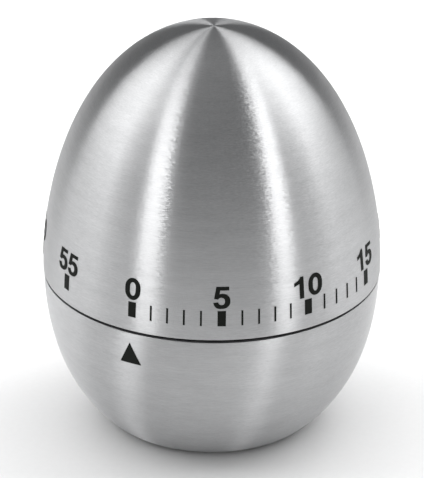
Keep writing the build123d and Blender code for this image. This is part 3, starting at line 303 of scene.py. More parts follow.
def brushed_steel(name, middle, lay):
    """Steel brushed round the axis at a slant in degrees, its scratches counted from a middle height."""
    darkest, brightest = (0.40, 0.403, 0.41, 1), (0.59, 0.593, 0.598, 1)
    smoothest, roughest = 0.32, 0.40
    sway_depth = 0.17
    scratch_depth = 0.004 * MM
    material, nodes, links, surface = steel_nodes(name)
    place = nodes.new("ShaderNodeTexCoord")
    parts = nodes.new("ShaderNodeSeparateXYZ")
    links.new(place.outputs["Object"], parts.inputs["Vector"])
    x, y = parts.outputs["X"], parts.outputs["Y"]
    squares = maths(nodes, links, "ADD", maths(nodes, links, "MULTIPLY", x, x),
                    maths(nodes, links, "MULTIPLY", y, y))
    radius = maths(nodes, links, "SQRT", squares)
    above = maths(nodes, links, "SUBTRACT", parts.outputs["Z"], middle)
    latitude = maths(nodes, links, "ARCTAN2", above, radius)
    flat = nodes.new("ShaderNodeCombineXYZ")
    links.new(x, flat.inputs["X"])
    links.new(y, flat.inputs["Y"])
    around = nodes.new("ShaderNodeVectorMath")
    around.operation = "NORMALIZE"
    links.new(flat.outputs["Vector"], around.inputs[0])
    round_parts = nodes.new("ShaderNodeSeparateXYZ")
    links.new(around.outputs["Vector"], round_parts.inputs["Vector"])

    def scratches(per_turn, across, detail, shift):
        """Noise drawn out round the axis: its lengths per radian and its lines per radian of latitude."""
        spread = nodes.new("ShaderNodeCombineXYZ")
        links.new(maths(nodes, links, "MULTIPLY", round_parts.outputs["X"], per_turn), spread.inputs["X"])
        links.new(maths(nodes, links, "MULTIPLY", round_parts.outputs["Y"], per_turn), spread.inputs["Y"])
        lines = maths(nodes, links, "MULTIPLY", latitude, across)
        links.new(maths(nodes, links, "ADD", lines, shift), spread.inputs["Z"])
        noise = nodes.new("ShaderNodeTexNoise")
        noise.inputs["Scale"].default_value = 1.0
        noise.inputs["Detail"].default_value = detail
        noise.inputs["Roughness"].default_value = 0.65
        links.new(spread.outputs["Vector"], noise.inputs["Vector"])
        return noise.outputs["Fac"]

    fine = scratches(14.0, 240.0, 3.0, 0.0)
    stray = scratches(42.0, 260.0, 2.0, 40.0)
    broad = scratches(2.5, 22.0, 2.0, 80.0)

    tone = nodes.new("ShaderNodeValToRGB")
    tone.color_ramp.elements[0].position = 0.3
    tone.color_ramp.elements[0].color = darkest
    tone.color_ramp.elements[1].position = 0.7
    tone.color_ramp.elements[1].color = brightest
    lines = maths(nodes, links, "ADD", maths(nodes, links, "MULTIPLY", fine, 0.4),
                  maths(nodes, links, "MULTIPLY", stray, 0.4))
    mixed = maths(nodes, links, "ADD", lines, maths(nodes, links, "MULTIPLY", broad, 0.2))
    links.new(mixed, tone.inputs["Fac"])
    links.new(tone.outputs["Color"], surface.inputs["Base Color"])

    rough = nodes.new("ShaderNodeMapRange")
    rough.inputs["From Min"].default_value = 0.3
    rough.inputs["From Max"].default_value = 0.7
    rough.inputs["To Min"].default_value = smoothest
    rough.inputs["To Max"].default_value = roughest
    links.new(stray, rough.inputs["Value"])
    links.new(rough.outputs["Result"], surface.inputs["Roughness"])

    tangent = nodes.new("ShaderNodeTangent")
    tangent.direction_type = "RADIAL"
    tangent.axis = "Z"
    links.new(tangent.outputs["Tangent"], surface.inputs["Tangent"])
    surface.inputs["Anisotropic"].default_value = 1.0
    surface.inputs["Anisotropic Rotation"].default_value = 0.25 + lay / 360

    geometry = nodes.new("ShaderNodeNewGeometry")
    sway = nodes.new("ShaderNodeVectorMath")
    sway.operation = "SCALE"
    links.new(tangent.outputs["Tangent"], sway.inputs[0])
    links.new(maths(nodes, links, "MULTIPLY", maths(nodes, links, "SUBTRACT", stray, 0.5), sway_depth),
              sway.inputs["Scale"])
    swayed = nodes.new("ShaderNodeVectorMath")
    swayed.operation = "ADD"
    links.new(geometry.outputs["Normal"], swayed.inputs[0])
    links.new(sway.outputs["Vector"], swayed.inputs[1])
    upright = nodes.new("ShaderNodeVectorMath")
    upright.operation = "NORMALIZE"
    links.new(swayed.outputs["Vector"], upright.inputs[0])
    bump = nodes.new("ShaderNodeBump")
    bump.inputs["Strength"].default_value = 0.25
    bump.inputs["Distance"].default_value = scratch_depth
    links.new(fine, bump.inputs["Height"])
    links.new(upright.outputs["Vector"], bump.inputs["Normal"])
    links.new(bump.outputs["Normal"], surface.inputs["Normal"])
    return material


# --- Base shell ---------------------------------------------------------------------------------------------
# The lower steel shell is deep drawn, rounded into a flat flange round the cover's opening and trimmed
# at the seam with its edge broken.
shell_wall = 0.5 * MM
base_inset = 0.12 * MM
base_low, base_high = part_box("base_shell")
base_corner = 1.2 * MM
base_opening = 17.0 * MM
base_lay = -12.0
rim_round = 0.06 * MM
shell_steps = 256
base_outside = egg_run(base_low.z, base_high.z, base_inset, 56)
base_inside = egg_run(base_low.z + shell_wall, base_high.z, base_inset + shell_wall, 56)
flange_above = (base_opening, base_low.z + shell_wall)
flange_below = (base_opening, base_low.z)
base_section = (
    rounded(base_outside[-2], base_outside[-1], base_inside[-1], rim_round, 4)
    + rounded(base_outside[-1], base_inside[-1], base_inside[-2], rim_round, 4)
    + base_inside[-2:1:-1]
    + rounded(base_inside[1], base_inside[0], flange_above, base_corner - shell_wall, 8)
    + rounded(base_inside[0], flange_above, flange_below, rim_round, 3)
    + rounded(flange_above, flange_below, base_outside[0], rim_round, 3)
    + rounded(flange_below, base_outside[0], base_outside[1], base_corner, 8)
    + base_outside[2:-1]
)
base_shell = turned("base_shell_steel", base_section, shell_steps)
base_shell.data.materials.append(brushed_steel("brushed_base_steel", egg_middle, base_lay))
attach(base_shell, "case")
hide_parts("base_shell")

# --- Dial shell ---------------------------------------------------------------------------------------------
# The upper steel shell is deep drawn from the same sheet, closed at the top, and turned by hand to set
# the time.
dial_outside = egg_run(dial_low.z, dial_high.z, 0.0, 110)
dial_inside = egg_run(dial_low.z, dial_high.z - shell_wall, shell_wall, 80)
dial_section = (
    rounded(dial_outside[1], dial_outside[0], dial_inside[0], rim_round, 4)[::-1]
    + dial_outside[1:-1] + [(0.0, dial_high.z), (0.0, dial_high.z - shell_wall)]
    + dial_inside[-2:0:-1]
    + rounded(dial_inside[1], dial_inside[0], dial_outside[0], rim_round, 4)
)
dial_shell = turned("dial_shell_steel", dial_section, shell_steps)
dial_shell.data.materials.append(brushed_steel("brushed_dial_steel", egg_middle, 0.0))
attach(dial_shell, "dial")
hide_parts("dial_shell")

# --- Minute scale -------------------------------------------------------------------------------------------
# Bars, ticks and numerals are printed on the dial shell in black ink and baked. A broad bar and a numeral
# stand at every five minutes, and single minutes are ticked only as far as fifteen.
ink_gap = 0.01 * MM
ink_thickness = 0.04 * MM
print_distance = 40 * MM
bar_bottom = 31.4 * MM
bar_length = 2.75 * MM
bar_width = 1.42 * MM
tick_width = 0.33 * MM
tick_turn = 5.54
figure_height = 3.9 * MM
figure_width = 2.92 * MM
figure_advance = 3.15 * MM
figure_gap = 0.4 * MM
marks_on_dial = 12
ticked_spaces = 3
ticks_in_space = 4


def black_ink():
    """Baked black ink with a faint unevenness in its gloss."""
    material = bpy.data.materials.new("black_ink")
    material.use_nodes = True
    nodes, links = material.node_tree.nodes, material.node_tree.links
    surface = nodes["Principled BSDF"]
    place = nodes.new("ShaderNodeTexCoord")
    mottle = nodes.new("ShaderNodeTexNoise")
    mottle.inputs["Scale"].default_value = 4000.0
    mottle.inputs["Detail"].default_value = 3.0
    links.new(place.outputs["Object"], mottle.inputs["Vector"])
    tone = nodes.new("ShaderNodeValToRGB")
    tone.color_ramp.elements[0].color = (0.004, 0.005, 0.004, 1)
    tone.color_ramp.elements[1].color = (0.009, 0.010, 0.008, 1)
    gloss = nodes.new("ShaderNodeMapRange")
    gloss.inputs["To Min"].default_value = 0.50
    gloss.inputs["To Max"].default_value = 0.68
    links.new(mottle.outputs["Fac"], tone.inputs["Fac"])
    links.new(mottle.outputs["Fac"], gloss.inputs["Value"])
    links.new(tone.outputs["Color"], surface.inputs["Base Color"])
    links.new(gloss.outputs["Result"], surface.inputs["Roughness"])
    surface.inputs["Specular IOR Level"].default_value = 0.10
    return material


ink = black_ink()

# Each figure's outline runs on a grid one unit high. True marks a point on a smooth stretch.
zero_outside = [(0.33, 1.0, True), (0.57, 0.86, True), (0.655, 0.5, True), (0.57, 0.14, True),
                (0.33, 0.0, True), (0.09, 0.14, True), (0.005, 0.5, True), (0.09, 0.86, True)]
zero_inside = [(0.33, 0.81, True), (0.235, 0.73, True), (0.205, 0.5, True), (0.235, 0.27, True),
               (0.33, 0.19, True), (0.425, 0.27, True), (0.455, 0.5, True), (0.425, 0.73, True)]
one = [(0.50, 0.0, False), (0.50, 1.0, False), (0.37, 1.0, False), (0.27, 0.87, True),
       (0.08, 0.76, False), (0.08, 0.60, False), (0.31, 0.70, False), (0.31, 0.0, False)]
two = [(0.03, 0.69, False), (0.11, 0.91, True), (0.33, 1.0, True), (0.56, 0.92, True),
       (0.645, 0.71, True), (0.56, 0.49, True), (0.42, 0.34, True), (0.28, 0.175, False),
       (0.645, 0.175, False), (0.645, 0.0, False), (0.0, 0.0, False), (0.06, 0.17, True),
       (0.22, 0.36, True), (0.39, 0.53, True), (0.45, 0.70, True), (0.42, 0.80, True),
       (0.325, 0.845, True), (0.24, 0.80, True), (0.215, 0.67, False)]
three = [(0.03, 0.72, False), (0.12, 0.92, True), (0.32, 1.0, True), (0.54, 0.93, True),
         (0.625, 0.75, True), (0.57, 0.60, True), (0.49, 0.535, False), (0.61, 0.45, True),
         (0.655, 0.29, True), (0.56, 0.07, True), (0.32, 0.0, True), (0.10, 0.07, True),
         (0.0, 0.27, False), (0.185, 0.30, False), (0.23, 0.19, True), (0.32, 0.15, True),
         (0.43, 0.20, True), (0.465, 0.31, True), (0.41, 0.43, True), (0.25, 0.46, False),
         (0.25, 0.60, False), (0.39, 0.64, True), (0.435, 0.74, True), (0.40, 0.825, True),
         (0.315, 0.855, True), (0.235, 0.81, True), (0.205, 0.70, False)]
four_outside = [(0.385, 0.0, False), (0.385, 0.205, False), (0.0, 0.205, False), (0.0, 0.365, False),
                (0.40, 1.0, False), (0.565, 1.0, False), (0.565, 0.365, False), (0.67, 0.365, False),
                (0.67, 0.205, False), (0.565, 0.205, False), (0.565, 0.0, False)]
four_inside = [(0.385, 0.365, False), (0.17, 0.365, False), (0.385, 0.72, False)]
five = [(0.12, 1.0, False), (0.61, 1.0, False), (0.61, 0.84, False), (0.27, 0.84, False),
        (0.245, 0.665, False), (0.37, 0.685, True), (0.575, 0.59, True), (0.655, 0.345, True),
        (0.57, 0.10, True), (0.32, 0.0, True), (0.10, 0.065, True), (0.0, 0.27, False),
        (0.19, 0.305, False), (0.24, 0.205, True), (0.32, 0.17, True), (0.415, 0.22, True),
        (0.45, 0.34, True), (0.415, 0.46, True), (0.32, 0.51, True), (0.24, 0.49, True),
        (0.19, 0.435, False), (0.035, 0.455, False)]
figures = {"0": (zero_outside, zero_inside), "1": (one,), "2": (two,), "3": (three,),
           "4": (four_outside, four_inside), "5": (five,)}
grid_width = 0.66


def pick_alone(piece):
    """One piece is selected alone and made the active one."""
    bpy.ops.object.select_all(action="DESELECT")
    piece.select_set(True)
    bpy.context.view_layer.objects.active = piece


def stand_upright(piece, height):
    """A flat piece drawn on the floor is stood up in front of the pointer's side, facing out."""
    pick_alone(piece)
    piece.rotation_euler = (math.radians(90), 0, 0)
    piece.location = (0, -print_distance, height)
    bpy.ops.object.transform_apply(location=True, rotation=True, scale=True)


def numeral(text):
    """A numeral's filled outline, flat, upright and centred, in front of the dial."""
    curve = bpy.data.curves.new("numeral", "CURVE")
    curve.dimensions = "2D"
    curve.fill_mode = "BOTH"
    curve.resolution_u = 5
    for place, figure in enumerate(text):
        start = figure_advance * (place - len(text) / 2) + (figure_advance - figure_width) / 2
        for outline in figures[figure]:
            loop = curve.splines.new("BEZIER")
            loop.bezier_points.add(len(outline) - 1)
            loop.use_cyclic_u = True
            for point, (across, up, smooth) in zip(loop.bezier_points, outline):
                point.co = (start + across / grid_width * figure_width, up * figure_height, 0)
                point.handle_left_type = point.handle_right_type = "AUTO" if smooth else "VECTOR"
    piece = bpy.data.objects.new("numeral", curve)
    bpy.context.scene.collection.objects.link(piece)
    pick_alone(piece)
    bpy.ops.object.convert(target="MESH")
    piece = bpy.context.object
    stand_upright(piece, bar_bottom + bar_length + figure_gap)
    return piece


def bar(width):
    """A bar or a tick, flat and upright in front of the dial."""
    bpy.ops.object.select_all(action="DESELECT")
    bpy.ops.mesh.primitive_plane_add(size=1.0, location=(0, 0, 0))
    piece = bpy.context.object
    bpy.ops.object.mode_set(mode="EDIT")
    bpy.ops.transform.resize(value=(width, bar_length, 1))
    bpy.ops.transform.translate(value=(0, bar_length / 2, 0))
    bpy.ops.object.mode_set(mode="OBJECT")
    stand_upright(piece, bar_bottom)
    return piece


def printed(piece, shell, angle):
    """A flat mark is cut in strips, laid on its shell, given the ink's thickness and turned to its place."""
    low = [min(vertex.co[axis] for vertex in piece.data.vertices) for axis in range(3)]
    high = [max(vertex.co[axis] for vertex in piece.data.vertices) for axis in range(3)]
    bpy.ops.object.mode_set(mode="EDIT")
    strip = 0.5 * MM
    for axis, normal in ((0, (1, 0, 0)), (2, (0, 0, 1))):
        cut = low[axis] + strip
        while cut < high[axis] - strip / 4:
            spot = [0, 0, 0]
            spot[axis] = cut
            bpy.ops.mesh.select_all(action="SELECT")
            bpy.ops.mesh.bisect(plane_co=spot, plane_no=normal)
            cut += strip
    bpy.ops.mesh.select_all(action="SELECT")
    bpy.ops.mesh.remove_doubles(threshold=0.002 * MM)
    bpy.ops.object.mode_set(mode="OBJECT")
    if sum(face.normal.y for face in piece.data.polygons) > 0:
        bpy.ops.object.mode_set(mode="EDIT")
        bpy.ops.mesh.flip_normals()
        bpy.ops.object.mode_set(mode="OBJECT")
    lay = piece.modifiers.new("lay", "SHRINKWRAP")
    lay.wrap_method = "PROJECT"
    lay.use_project_y = True
    lay.use_negative_direction = False
    lay.use_positive_direction = True
    lay.target = shell
    lay.offset = ink_gap
    skin = piece.modifiers.new("skin", "SOLIDIFY")
    skin.thickness = ink_thickness
    skin.offset = 1
    bpy.ops.object.modifier_apply(modifier="lay")
    bpy.ops.object.modifier_apply(modifier="skin")
    piece.rotation_euler = (0, 0, math.radians(angle))
    bpy.ops.object.transform_apply(location=False, rotation=True, scale=False)
    return piece


def joined(name, pieces):
    """Several meshes as one piece."""
    bpy.ops.object.select_all(action="DESELECT")
    for piece in pieces:
        piece.select_set(True)
    bpy.context.view_layer.objects.active = pieces[0]
    bpy.ops.object.join()
    pieces[0].name = name
    pieces[0].data.name = name
    return pieces[0]


marks = []
for mark in range(marks_on_dial):
    turn = 360 / marks_on_dial * mark
    marks.append(printed(bar(bar_width), dial_shell, turn))
    marks.append(printed(numeral(str(60 // marks_on_dial * mark)), dial_shell, turn))
for space in range(ticked_spaces):
    for tick in range(ticks_in_space):
        turn = 360 / marks_on_dial * (space + 0.5) + tick_turn * (tick - (ticks_in_space - 1) / 2)
        marks.append(printed(bar(tick_width), dial_shell, turn))
minute_scale = joined("minute_scale_ink", marks)
minute_scale.data.materials.clear()
minute_scale.data.materials.append(ink)
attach(minute_scale, "dial")
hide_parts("minute_scale")

# --- Pointer ------------------------------------------------------------------------------------------------
# The triangle that the scale is read against is printed on the base shell in the same ink, a degree round
# from the zero mark.
pointer_low, pointer_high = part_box("pointer_mark")
pointer_width = 4.0 * MM
pointer_turn = -1.0
bpy.ops.object.select_all(action="DESELECT")
bpy.ops.mesh.primitive_circle_add(vertices=3, radius=1.0, fill_type="NGON", location=(0, 0, 0))
pointer = bpy.context.object
stand_upright(pointer, 0)
pointer_size = pointer.dimensions.copy()
bpy.ops.object.mode_set(mode="EDIT")
bpy.ops.mesh.select_all(action="SELECT")
bpy.ops.transform.translate(value=(0, 0, pointer_size.z / 3))
bpy.ops.transform.resize(
    value=(pointer_width / pointer_size.x, 1, (pointer_high.z - pointer_low.z) / pointer_size.z),
    center_override=(0, 0, 0),
)
bpy.ops.transform.translate(value=(0, 0, pointer_low.z))
bpy.ops.object.mode_set(mode="OBJECT")
pointer = printed(pointer, base_shell, pointer_turn)
pointer.name = "pointer_ink"
pointer.data.materials.clear()
pointer.data.materials.append(ink)
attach(pointer, "case")
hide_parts("pointer_mark")

# --- Bottom cover -------------------------------------------------------------------------------------------
# The black plastic cover closes the case from below. It is moulded with a groove for the foot ring, nine
# slots that let the bell be heard, and three sunk seats for its screws.
cover_low, cover_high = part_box("bottom_cover")
foot_low, foot_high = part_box("foot_ring")
cover_radius = cover_high.x
cover_flange_top = base_low.z
foot_outer = foot_high.x
foot_width = 1.8 * MM
foot_inner = foot_outer - foot_width
slot_circle = 9.7 * MM
slot_length = 5.0 * MM
slot_width = 1.6 * MM
slot_cut_height = 3.0 * MM
slot_cut_middle = 1.3 * MM
slots_round_cover = 9
screw_circle = 10.0 * MM
screw_head_radius = 1.8 * MM
screw_head_height = 0.9 * MM
seat_play = 0.05 * MM
seat_cut_height = 1.5 * MM
screws_round_cover = 3
mouth_flare = 0.2 * MM


def mottled(name, dark, light, rough, scale, depth, metallic=0.0, stretch=(1, 1, 1)):
    """A finish whose tone, gloss and relief follow one grain, which stretch can draw out into lines."""
    material = bpy.data.materials.new(name)
    material.use_nodes = True
    nodes, links = material.node_tree.nodes, material.node_tree.links
    surface = nodes["Principled BSDF"]
    surface.inputs["Metallic"].default_value = metallic
    surface.inputs["Specular IOR Level"].default_value = 0.2 + 0.3 * metallic
    place = nodes.new("ShaderNodeTexCoord")
    drawn = nodes.new("ShaderNodeMapping")
    drawn.inputs["Scale"].default_value = stretch
    grain = nodes.new("ShaderNodeTexNoise")
    grain.inputs["Scale"].default_value = scale
    grain.inputs["Detail"].default_value = 4.0
    cloud = nodes.new("ShaderNodeTexNoise")
    cloud.inputs["Scale"].default_value = scale / 18
    cloud.inputs["Detail"].default_value = 2.0
    blend = nodes.new("ShaderNodeMath")
    blend.operation = "MULTIPLY_ADD"
    blend.inputs[1].default_value = 0.5
    tone = nodes.new("ShaderNodeValToRGB")
    tone.color_ramp.elements[0].position = 0.45
    tone.color_ramp.elements[0].color = (*dark, 1)
    tone.color_ramp.elements[1].position = 0.95
    tone.color_ramp.elements[1].color = (*light, 1)
    gloss = nodes.new("ShaderNodeMapRange")
    gloss.inputs["From Min"].default_value = 0.3
    gloss.inputs["From Max"].default_value = 0.7
    gloss.inputs["To Min"].default_value = rough[0]
    gloss.inputs["To Max"].default_value = rough[1]
    relief = nodes.new("ShaderNodeBump")
    relief.inputs["Strength"].default_value = 0.5
    relief.inputs["Distance"].default_value = depth
    links.new(place.outputs["Object"], drawn.inputs["Vector"])
    links.new(drawn.outputs["Vector"], grain.inputs["Vector"])
    links.new(place.outputs["Object"], cloud.inputs["Vector"])
    links.new(grain.outputs["Fac"], blend.inputs[0])
    links.new(cloud.outputs["Fac"], blend.inputs[2])
    links.new(blend.outputs["Value"], tone.inputs["Fac"])
    links.new(tone.outputs["Color"], surface.inputs["Base Color"])
    links.new(grain.outputs["Fac"], gloss.inputs["Value"])
    links.new(gloss.outputs["Result"], surface.inputs["Roughness"])
    links.new(grain.outputs["Fac"], relief.inputs["Height"])
    links.new(relief.outputs["Normal"], surface.inputs["Normal"])
    return material


def flared(name, piece, grown, mouth_top):
    """A cutter's lowest ring is widened, so that the mouth it cuts is chamfered."""
    pick_alone(piece)
    bpy.ops.object.mode_set(mode="EDIT")
    bpy.ops.mesh.select_all(action="SELECT")
    bpy.ops.mesh.bisect(plane_co=(0, 0, mouth_top), plane_no=(0, 0, 1))
    bpy.ops.mesh.select_all(action="DESELECT")
    bpy.ops.object.mode_set(mode="OBJECT")
    bottom = min(vertex.co.z for vertex in piece.data.vertices)
    for vertex in piece.data.vertices:
        vertex.select = vertex.co.z < bottom + 0.01 * MM
    middle_x = sum(vertex.co.x for vertex in piece.data.vertices) / len(piece.data.vertices)
    width = max(vertex.co.y for vertex in piece.data.vertices)
    length = max(vertex.co.x for vertex in piece.data.vertices) - middle_x
    bpy.ops.object.mode_set(mode="EDIT")
    bpy.ops.transform.resize(value=((length + grown) / length, (width + grown) / width, 1),
                             center_override=(middle_x, 0, 0))
    bpy.ops.object.mode_set(mode="OBJECT")
    piece.name = name
    return piece


def slot_cutter():
    """A round-ended column on the X side that cuts one sound slot."""
    bpy.ops.object.select_all(action="DESELECT")
    bpy.ops.mesh.primitive_cylinder_add(
        vertices=24, radius=slot_width / 2, depth=slot_cut_height, location=(0, 0, 0)
    )
    cutter = bpy.context.object
    bpy.ops.object.mode_set(mode="EDIT")
    bpy.ops.mesh.select_mode(type="VERT")
    bpy.ops.mesh.select_all(action="DESELECT")
    bpy.ops.object.mode_set(mode="OBJECT")
    for vertex in cutter.data.vertices:
        vertex.select = vertex.co.x > 0.01 * MM
    bpy.ops.object.mode_set(mode="EDIT")
    bpy.ops.transform.translate(value=(slot_length - slot_width, 0, 0))
    bpy.ops.mesh.select_all(action="SELECT")
    inner_end = slot_circle - (slot_length - slot_width) / 2
    bpy.ops.transform.translate(value=(inner_end, 0, cover_low.z + slot_cut_middle))
    bpy.ops.object.mode_set(mode="OBJECT")
    return flared("slot_cutter", cutter, mouth_flare, cover_low.z + mouth_flare)


def seat_cutter():
    """A column on the X side that cuts one screw's seat."""
    bpy.ops.object.select_all(action="DESELECT")
    bpy.ops.mesh.primitive_cylinder_add(
        vertices=48, radius=screw_head_radius + seat_play, depth=seat_cut_height, location=(0, 0, 0)
    )
    cutter = bpy.context.object
    bpy.ops.object.mode_set(mode="EDIT")
    bpy.ops.mesh.select_all(action="SELECT")
    seat_middle = cover_low.z + screw_head_height - seat_cut_height / 2
    bpy.ops.transform.translate(value=(screw_circle, 0, seat_middle))
    bpy.ops.object.mode_set(mode="OBJECT")
    return flared("seat_cutter", cutter, mouth_flare, cover_low.z + mouth_flare)


def turned_copy(piece, angle):
    """A copy with its own mesh, turned round the timer's axis."""
    pick_alone(piece)
    bpy.ops.object.duplicate(linked=False)
    copy = bpy.context.object
    copy.rotation_euler = (0, 0, math.radians(angle))
    bpy.ops.object.transform_apply(location=False, rotation=True, scale=False)
    return copy


def cut_away(piece, cutters):
    """Cuts several columns out of a piece and removes them."""
    cutter = joined("cutter", cutters)
    difference = piece.modifiers.new("cut", "BOOLEAN")
    difference.operation = "DIFFERENCE"
    difference.solver = "EXACT"
    difference.object = cutter
    pick_alone(piece)
    bpy.ops.object.modifier_apply(modifier="cut")
    bpy.ops.object.shade_smooth_by_angle(angle=smooth_limit)
    bpy.data.objects.remove(cutter)


black_plastic = mottled(
    "black_plastic", (0.011, 0.011, 0.012), (0.022, 0.022, 0.023), (0.42, 0.58), 2600, 0.02 * MM
)
cover_plug = 16.9 * MM
cover_section = softened([
    (0.0, cover_low.z, 0), (foot_inner, cover_low.z, 0.1 * MM), (foot_inner, foot_high.z, 0),
    (foot_outer, foot_high.z, 0), (foot_outer, cover_low.z, 0.1 * MM), (cover_radius, cover_low.z, 0.2 * MM),
    (cover_radius, cover_flange_top, 0.05 * MM), (cover_plug, cover_flange_top, 0),
    (cover_plug, cover_high.z, 0.2 * MM), (0.0, cover_high.z, 0),
])
bottom_cover = turned("bottom_cover_plastic", cover_section, 144)
first_slot = slot_cutter()
first_seat = seat_cutter()
cover_cutters = [turned_copy(first_slot, 360 / slots_round_cover * (number + 0.5))
                 for number in range(slots_round_cover)]
cover_cutters += [turned_copy(first_seat, 360 / screws_round_cover * number)
                  for number in range(1, screws_round_cover)]
bpy.data.objects.remove(first_slot)
cut_away(bottom_cover, cover_cutters + [first_seat])
bottom_cover.data.materials.clear()
bottom_cover.data.materials.append(black_plastic)
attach(bottom_cover, "case")
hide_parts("bottom_cover")

# --- Foot ring ----------------------------------------------------------------------------------------------
# The timer stands on a ring of soft black rubber pressed into the cover's groove.
foot_play = 0.02 * MM
foot_section = softened([
    (foot_inner + foot_play, foot_low.z, 0.2 * MM), (foot_outer - foot_play, foot_low.z, 0.2 * MM),
    (foot_outer - foot_play, foot_high.z - foot_play, 0),
    (foot_inner + foot_play, foot_high.z - foot_play, 0),
])
foot_ring = turned("foot_ring_rubber", foot_section, 144)
foot_ring.data.materials.append(
    mottled("foot_rubber", (0.018, 0.018, 0.018), (0.034, 0.034, 0.033), (0.72, 0.88), 1800, 0.03 * MM)
)
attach(foot_ring, "case")
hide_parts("foot_ring")

# --- Cover screws -------------------------------------------------------------------------------------------
# Three zinc-plated screws hold the cover to the liner, each with a straight slot and a broken edge.
screws_low, screws_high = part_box("cover_screws")
screw_shank_radius = 0.9 * MM
screw_slot_width = 0.35 * MM
screw_slot_depth = 0.35 * MM
screw_section = softened([
    (0.0, screws_low.z, 0), (screw_head_radius, screws_low.z, 0.12 * MM),
    (screw_head_radius, screws_low.z + screw_head_height, 0.04 * MM),
    (screw_shank_radius, screws_low.z + screw_head_height, 0), (screw_shank_radius, screws_high.z, 0.1 * MM),
    (0.0, screws_high.z, 0),
])
cover_screw = turned("cover_screws_steel", screw_section, 48)
bpy.ops.object.select_all(action="DESELECT")
bpy.ops.mesh.primitive_cube_add(size=1.0, location=(0, 0, 0))
screw_slot = bpy.context.object
bpy.ops.object.mode_set(mode="EDIT")
bpy.ops.transform.resize(value=(3 * screw_head_radius, screw_slot_width, 2 * screw_slot_depth))
bpy.ops.transform.translate(value=(0, 0, screws_low.z))
bpy.ops.object.mode_set(mode="OBJECT")
cut_away(cover_screw, [screw_slot])
bpy.ops.object.mode_set(mode="EDIT")
bpy.ops.mesh.select_all(action="SELECT")
bpy.ops.transform.translate(value=(screw_circle, 0, 0))
bpy.ops.object.mode_set(mode="OBJECT")
cover_screws = joined("cover_screws_steel", [cover_screw] + [
    turned_copy(cover_screw, 360 / screws_round_cover * number) for number in range(1, screws_round_cover)
])
screw_steel = mottled(
    "screw_steel", (0.36, 0.37, 0.38), (0.52, 0.53, 0.54), (0.28, 0.42), 1500, 0.006 * MM, metallic=1.0
)
cover_screws.data.materials.clear()
cover_screws.data.materials.append(screw_steel)
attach(cover_screws, "case")
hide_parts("cover_screws")

# --- Bell ---------------------------------------------------------------------------------------------------
# The gong is a spun steel cup, open upwards, nickel plated and bright inside the dark case.
bell_low, bell_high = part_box("bell")
bell_radius = bell_high.x
bell_wall = 0.9 * MM
bell_bend = 5.0 * MM
bell_bore = 1.0 * MM
bell_edge = 0.2 * MM
bell_section = softened([
    (bell_bore, bell_low.z, 0), (bell_radius, bell_low.z, bell_bend), (bell_radius, bell_high.z, bell_edge),
    (bell_radius - bell_wall, bell_high.z, bell_edge),
    (bell_radius - bell_wall, bell_low.z + bell_wall, bell_bend - bell_wall),
    (bell_bore, bell_low.z + bell_wall, 0),
], steps=10)
bell = turned("bell_steel_cup", bell_section, 144)
bell.data.materials.append(
    mottled("bell_steel", (0.55, 0.54, 0.51), (0.68, 0.67, 0.64), (0.16, 0.28), 900, 0.004 * MM, metallic=1.0)
)
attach(bell, "case")
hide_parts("bell")

# --- Liner and dial core ------------------------------------------------------------------------------------
# Black moulded cups line the two shells. The liner carries the movement on its shelf, and its lip shows
# as a dark line in the seam. The core joins the dial shell to the main arbor.
def finished(names, material):
    """CAD nodes keep their shape and take a material."""
    for name in names:
        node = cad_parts[name]
        node.data.materials.clear()
        node.data.materials.append(material)


finished(["movement_liner", "dial_core"], black_plastic)

# --- Movement plates ----------------------------------------------------------------------------------------
# Two round plates stamped from rolled brass sheet, with the sheet's grain running across them.
plate_brass = mottled(
    "plate_brass", (0.60, 0.45, 0.20), (0.76, 0.60, 0.29), (0.26, 0.40), 700, 0.006 * MM,
    metallic=1.0, stretch=(0.12, 2.5, 1)
)
finished(["lower_plate", "upper_plate"], plate_brass)

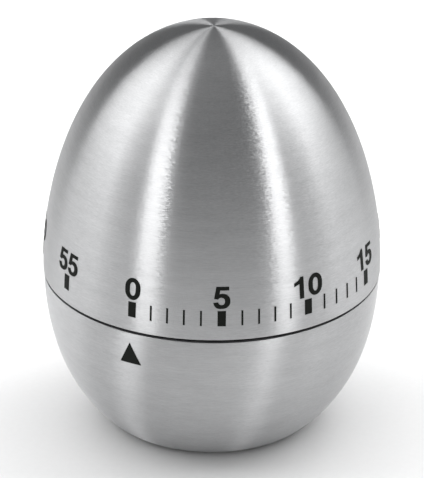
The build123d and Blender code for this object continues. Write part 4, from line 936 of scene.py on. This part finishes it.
# --- Pillars, posts and screws of the movement --------------------------------------------------------------
# Steel turned from bar holds the plates apart and carries the hammer, the click and the spring's end, and
# zinc-plated screws hold them together.
arbor_steel = mottled(
    "arbor_steel", (0.44, 0.44, 0.45), (0.58, 0.58, 0.59), (0.18, 0.30), 1100, 0.003 * MM,
    metallic=1.0, stretch=(0.3, 0.3, 4)
)
finished(["plate_pillars", "hammer_post", "spring_post", "click_rivet"], arbor_steel)
finished(["plate_screws", "movement_screws", "bell_screw"], screw_steel)

# --- Arbors and pivots --------------------------------------------------------------------------------------
# The arbors, the balance's staff and the escapement's and the hammer's pins are ground bright.
finished(
    ["main_arbor", "second_arbor", "third_arbor", "escape_arbor", "balance_staff", "pallet_pins",
     "hammer_pin"],
    arbor_steel,
)

# --- Wheels, bushes and hammer head -------------------------------------------------------------------------
# The wheels are stamped brass, and the bushes, the bell's post, the balance ring and the hammer's head
# are turned from the same brass.
wheel_brass = mottled(
    "wheel_brass", (0.64, 0.47, 0.19), (0.80, 0.62, 0.28), (0.22, 0.36), 1300, 0.005 * MM, metallic=1.0
)
finished(
    ["main_wheel", "second_wheel", "third_wheel", "escape_wheel", "main_bushes", "bell_post", "balance_ring",
     "hammer_head"],
    wheel_brass,
)

# --- Pinions ------------------------------------------------------------------------------------------------
# The pinions are cut from drawn brass rod, a little redder than the wheels.
pinion_brass = mottled(
    "pinion_brass", (0.58, 0.40, 0.16), (0.72, 0.53, 0.23), (0.20, 0.32), 1600, 0.004 * MM,
    metallic=1.0, stretch=(1, 1, 0.2)
)
finished(["second_pinion", "third_pinion", "escape_pinion"], pinion_brass)

# --- Springs ------------------------------------------------------------------------------------------------
# The mainspring, the click's and the hammer's springs and the arbor's clip are blued steel strip.
spring_steel = mottled(
    "spring_steel", (0.13, 0.15, 0.22), (0.24, 0.25, 0.33), (0.24, 0.38), 1400, 0.003 * MM,
    metallic=1.0, stretch=(1, 1, 5)
)
finished(["mainspring", "click_spring", "hammer_spring", "arbor_clip"], spring_steel)

# --- Ratchet, click, cams and levers ------------------------------------------------------------------------
# The ratchet, click, lock cam, strike star, strike lever and pallet anchor are stamped steel, tumbled so
# that their faces are grey and slightly pitted.
stamped_steel = mottled(
    "stamped_steel", (0.34, 0.34, 0.35), (0.50, 0.50, 0.51), (0.34, 0.50), 1900, 0.012 * MM, metallic=1.0
)
finished(
    ["ratchet_wheel", "lock_cam", "strike_star", "strike_lever", "click", "pallet_anchor"], stamped_steel
)
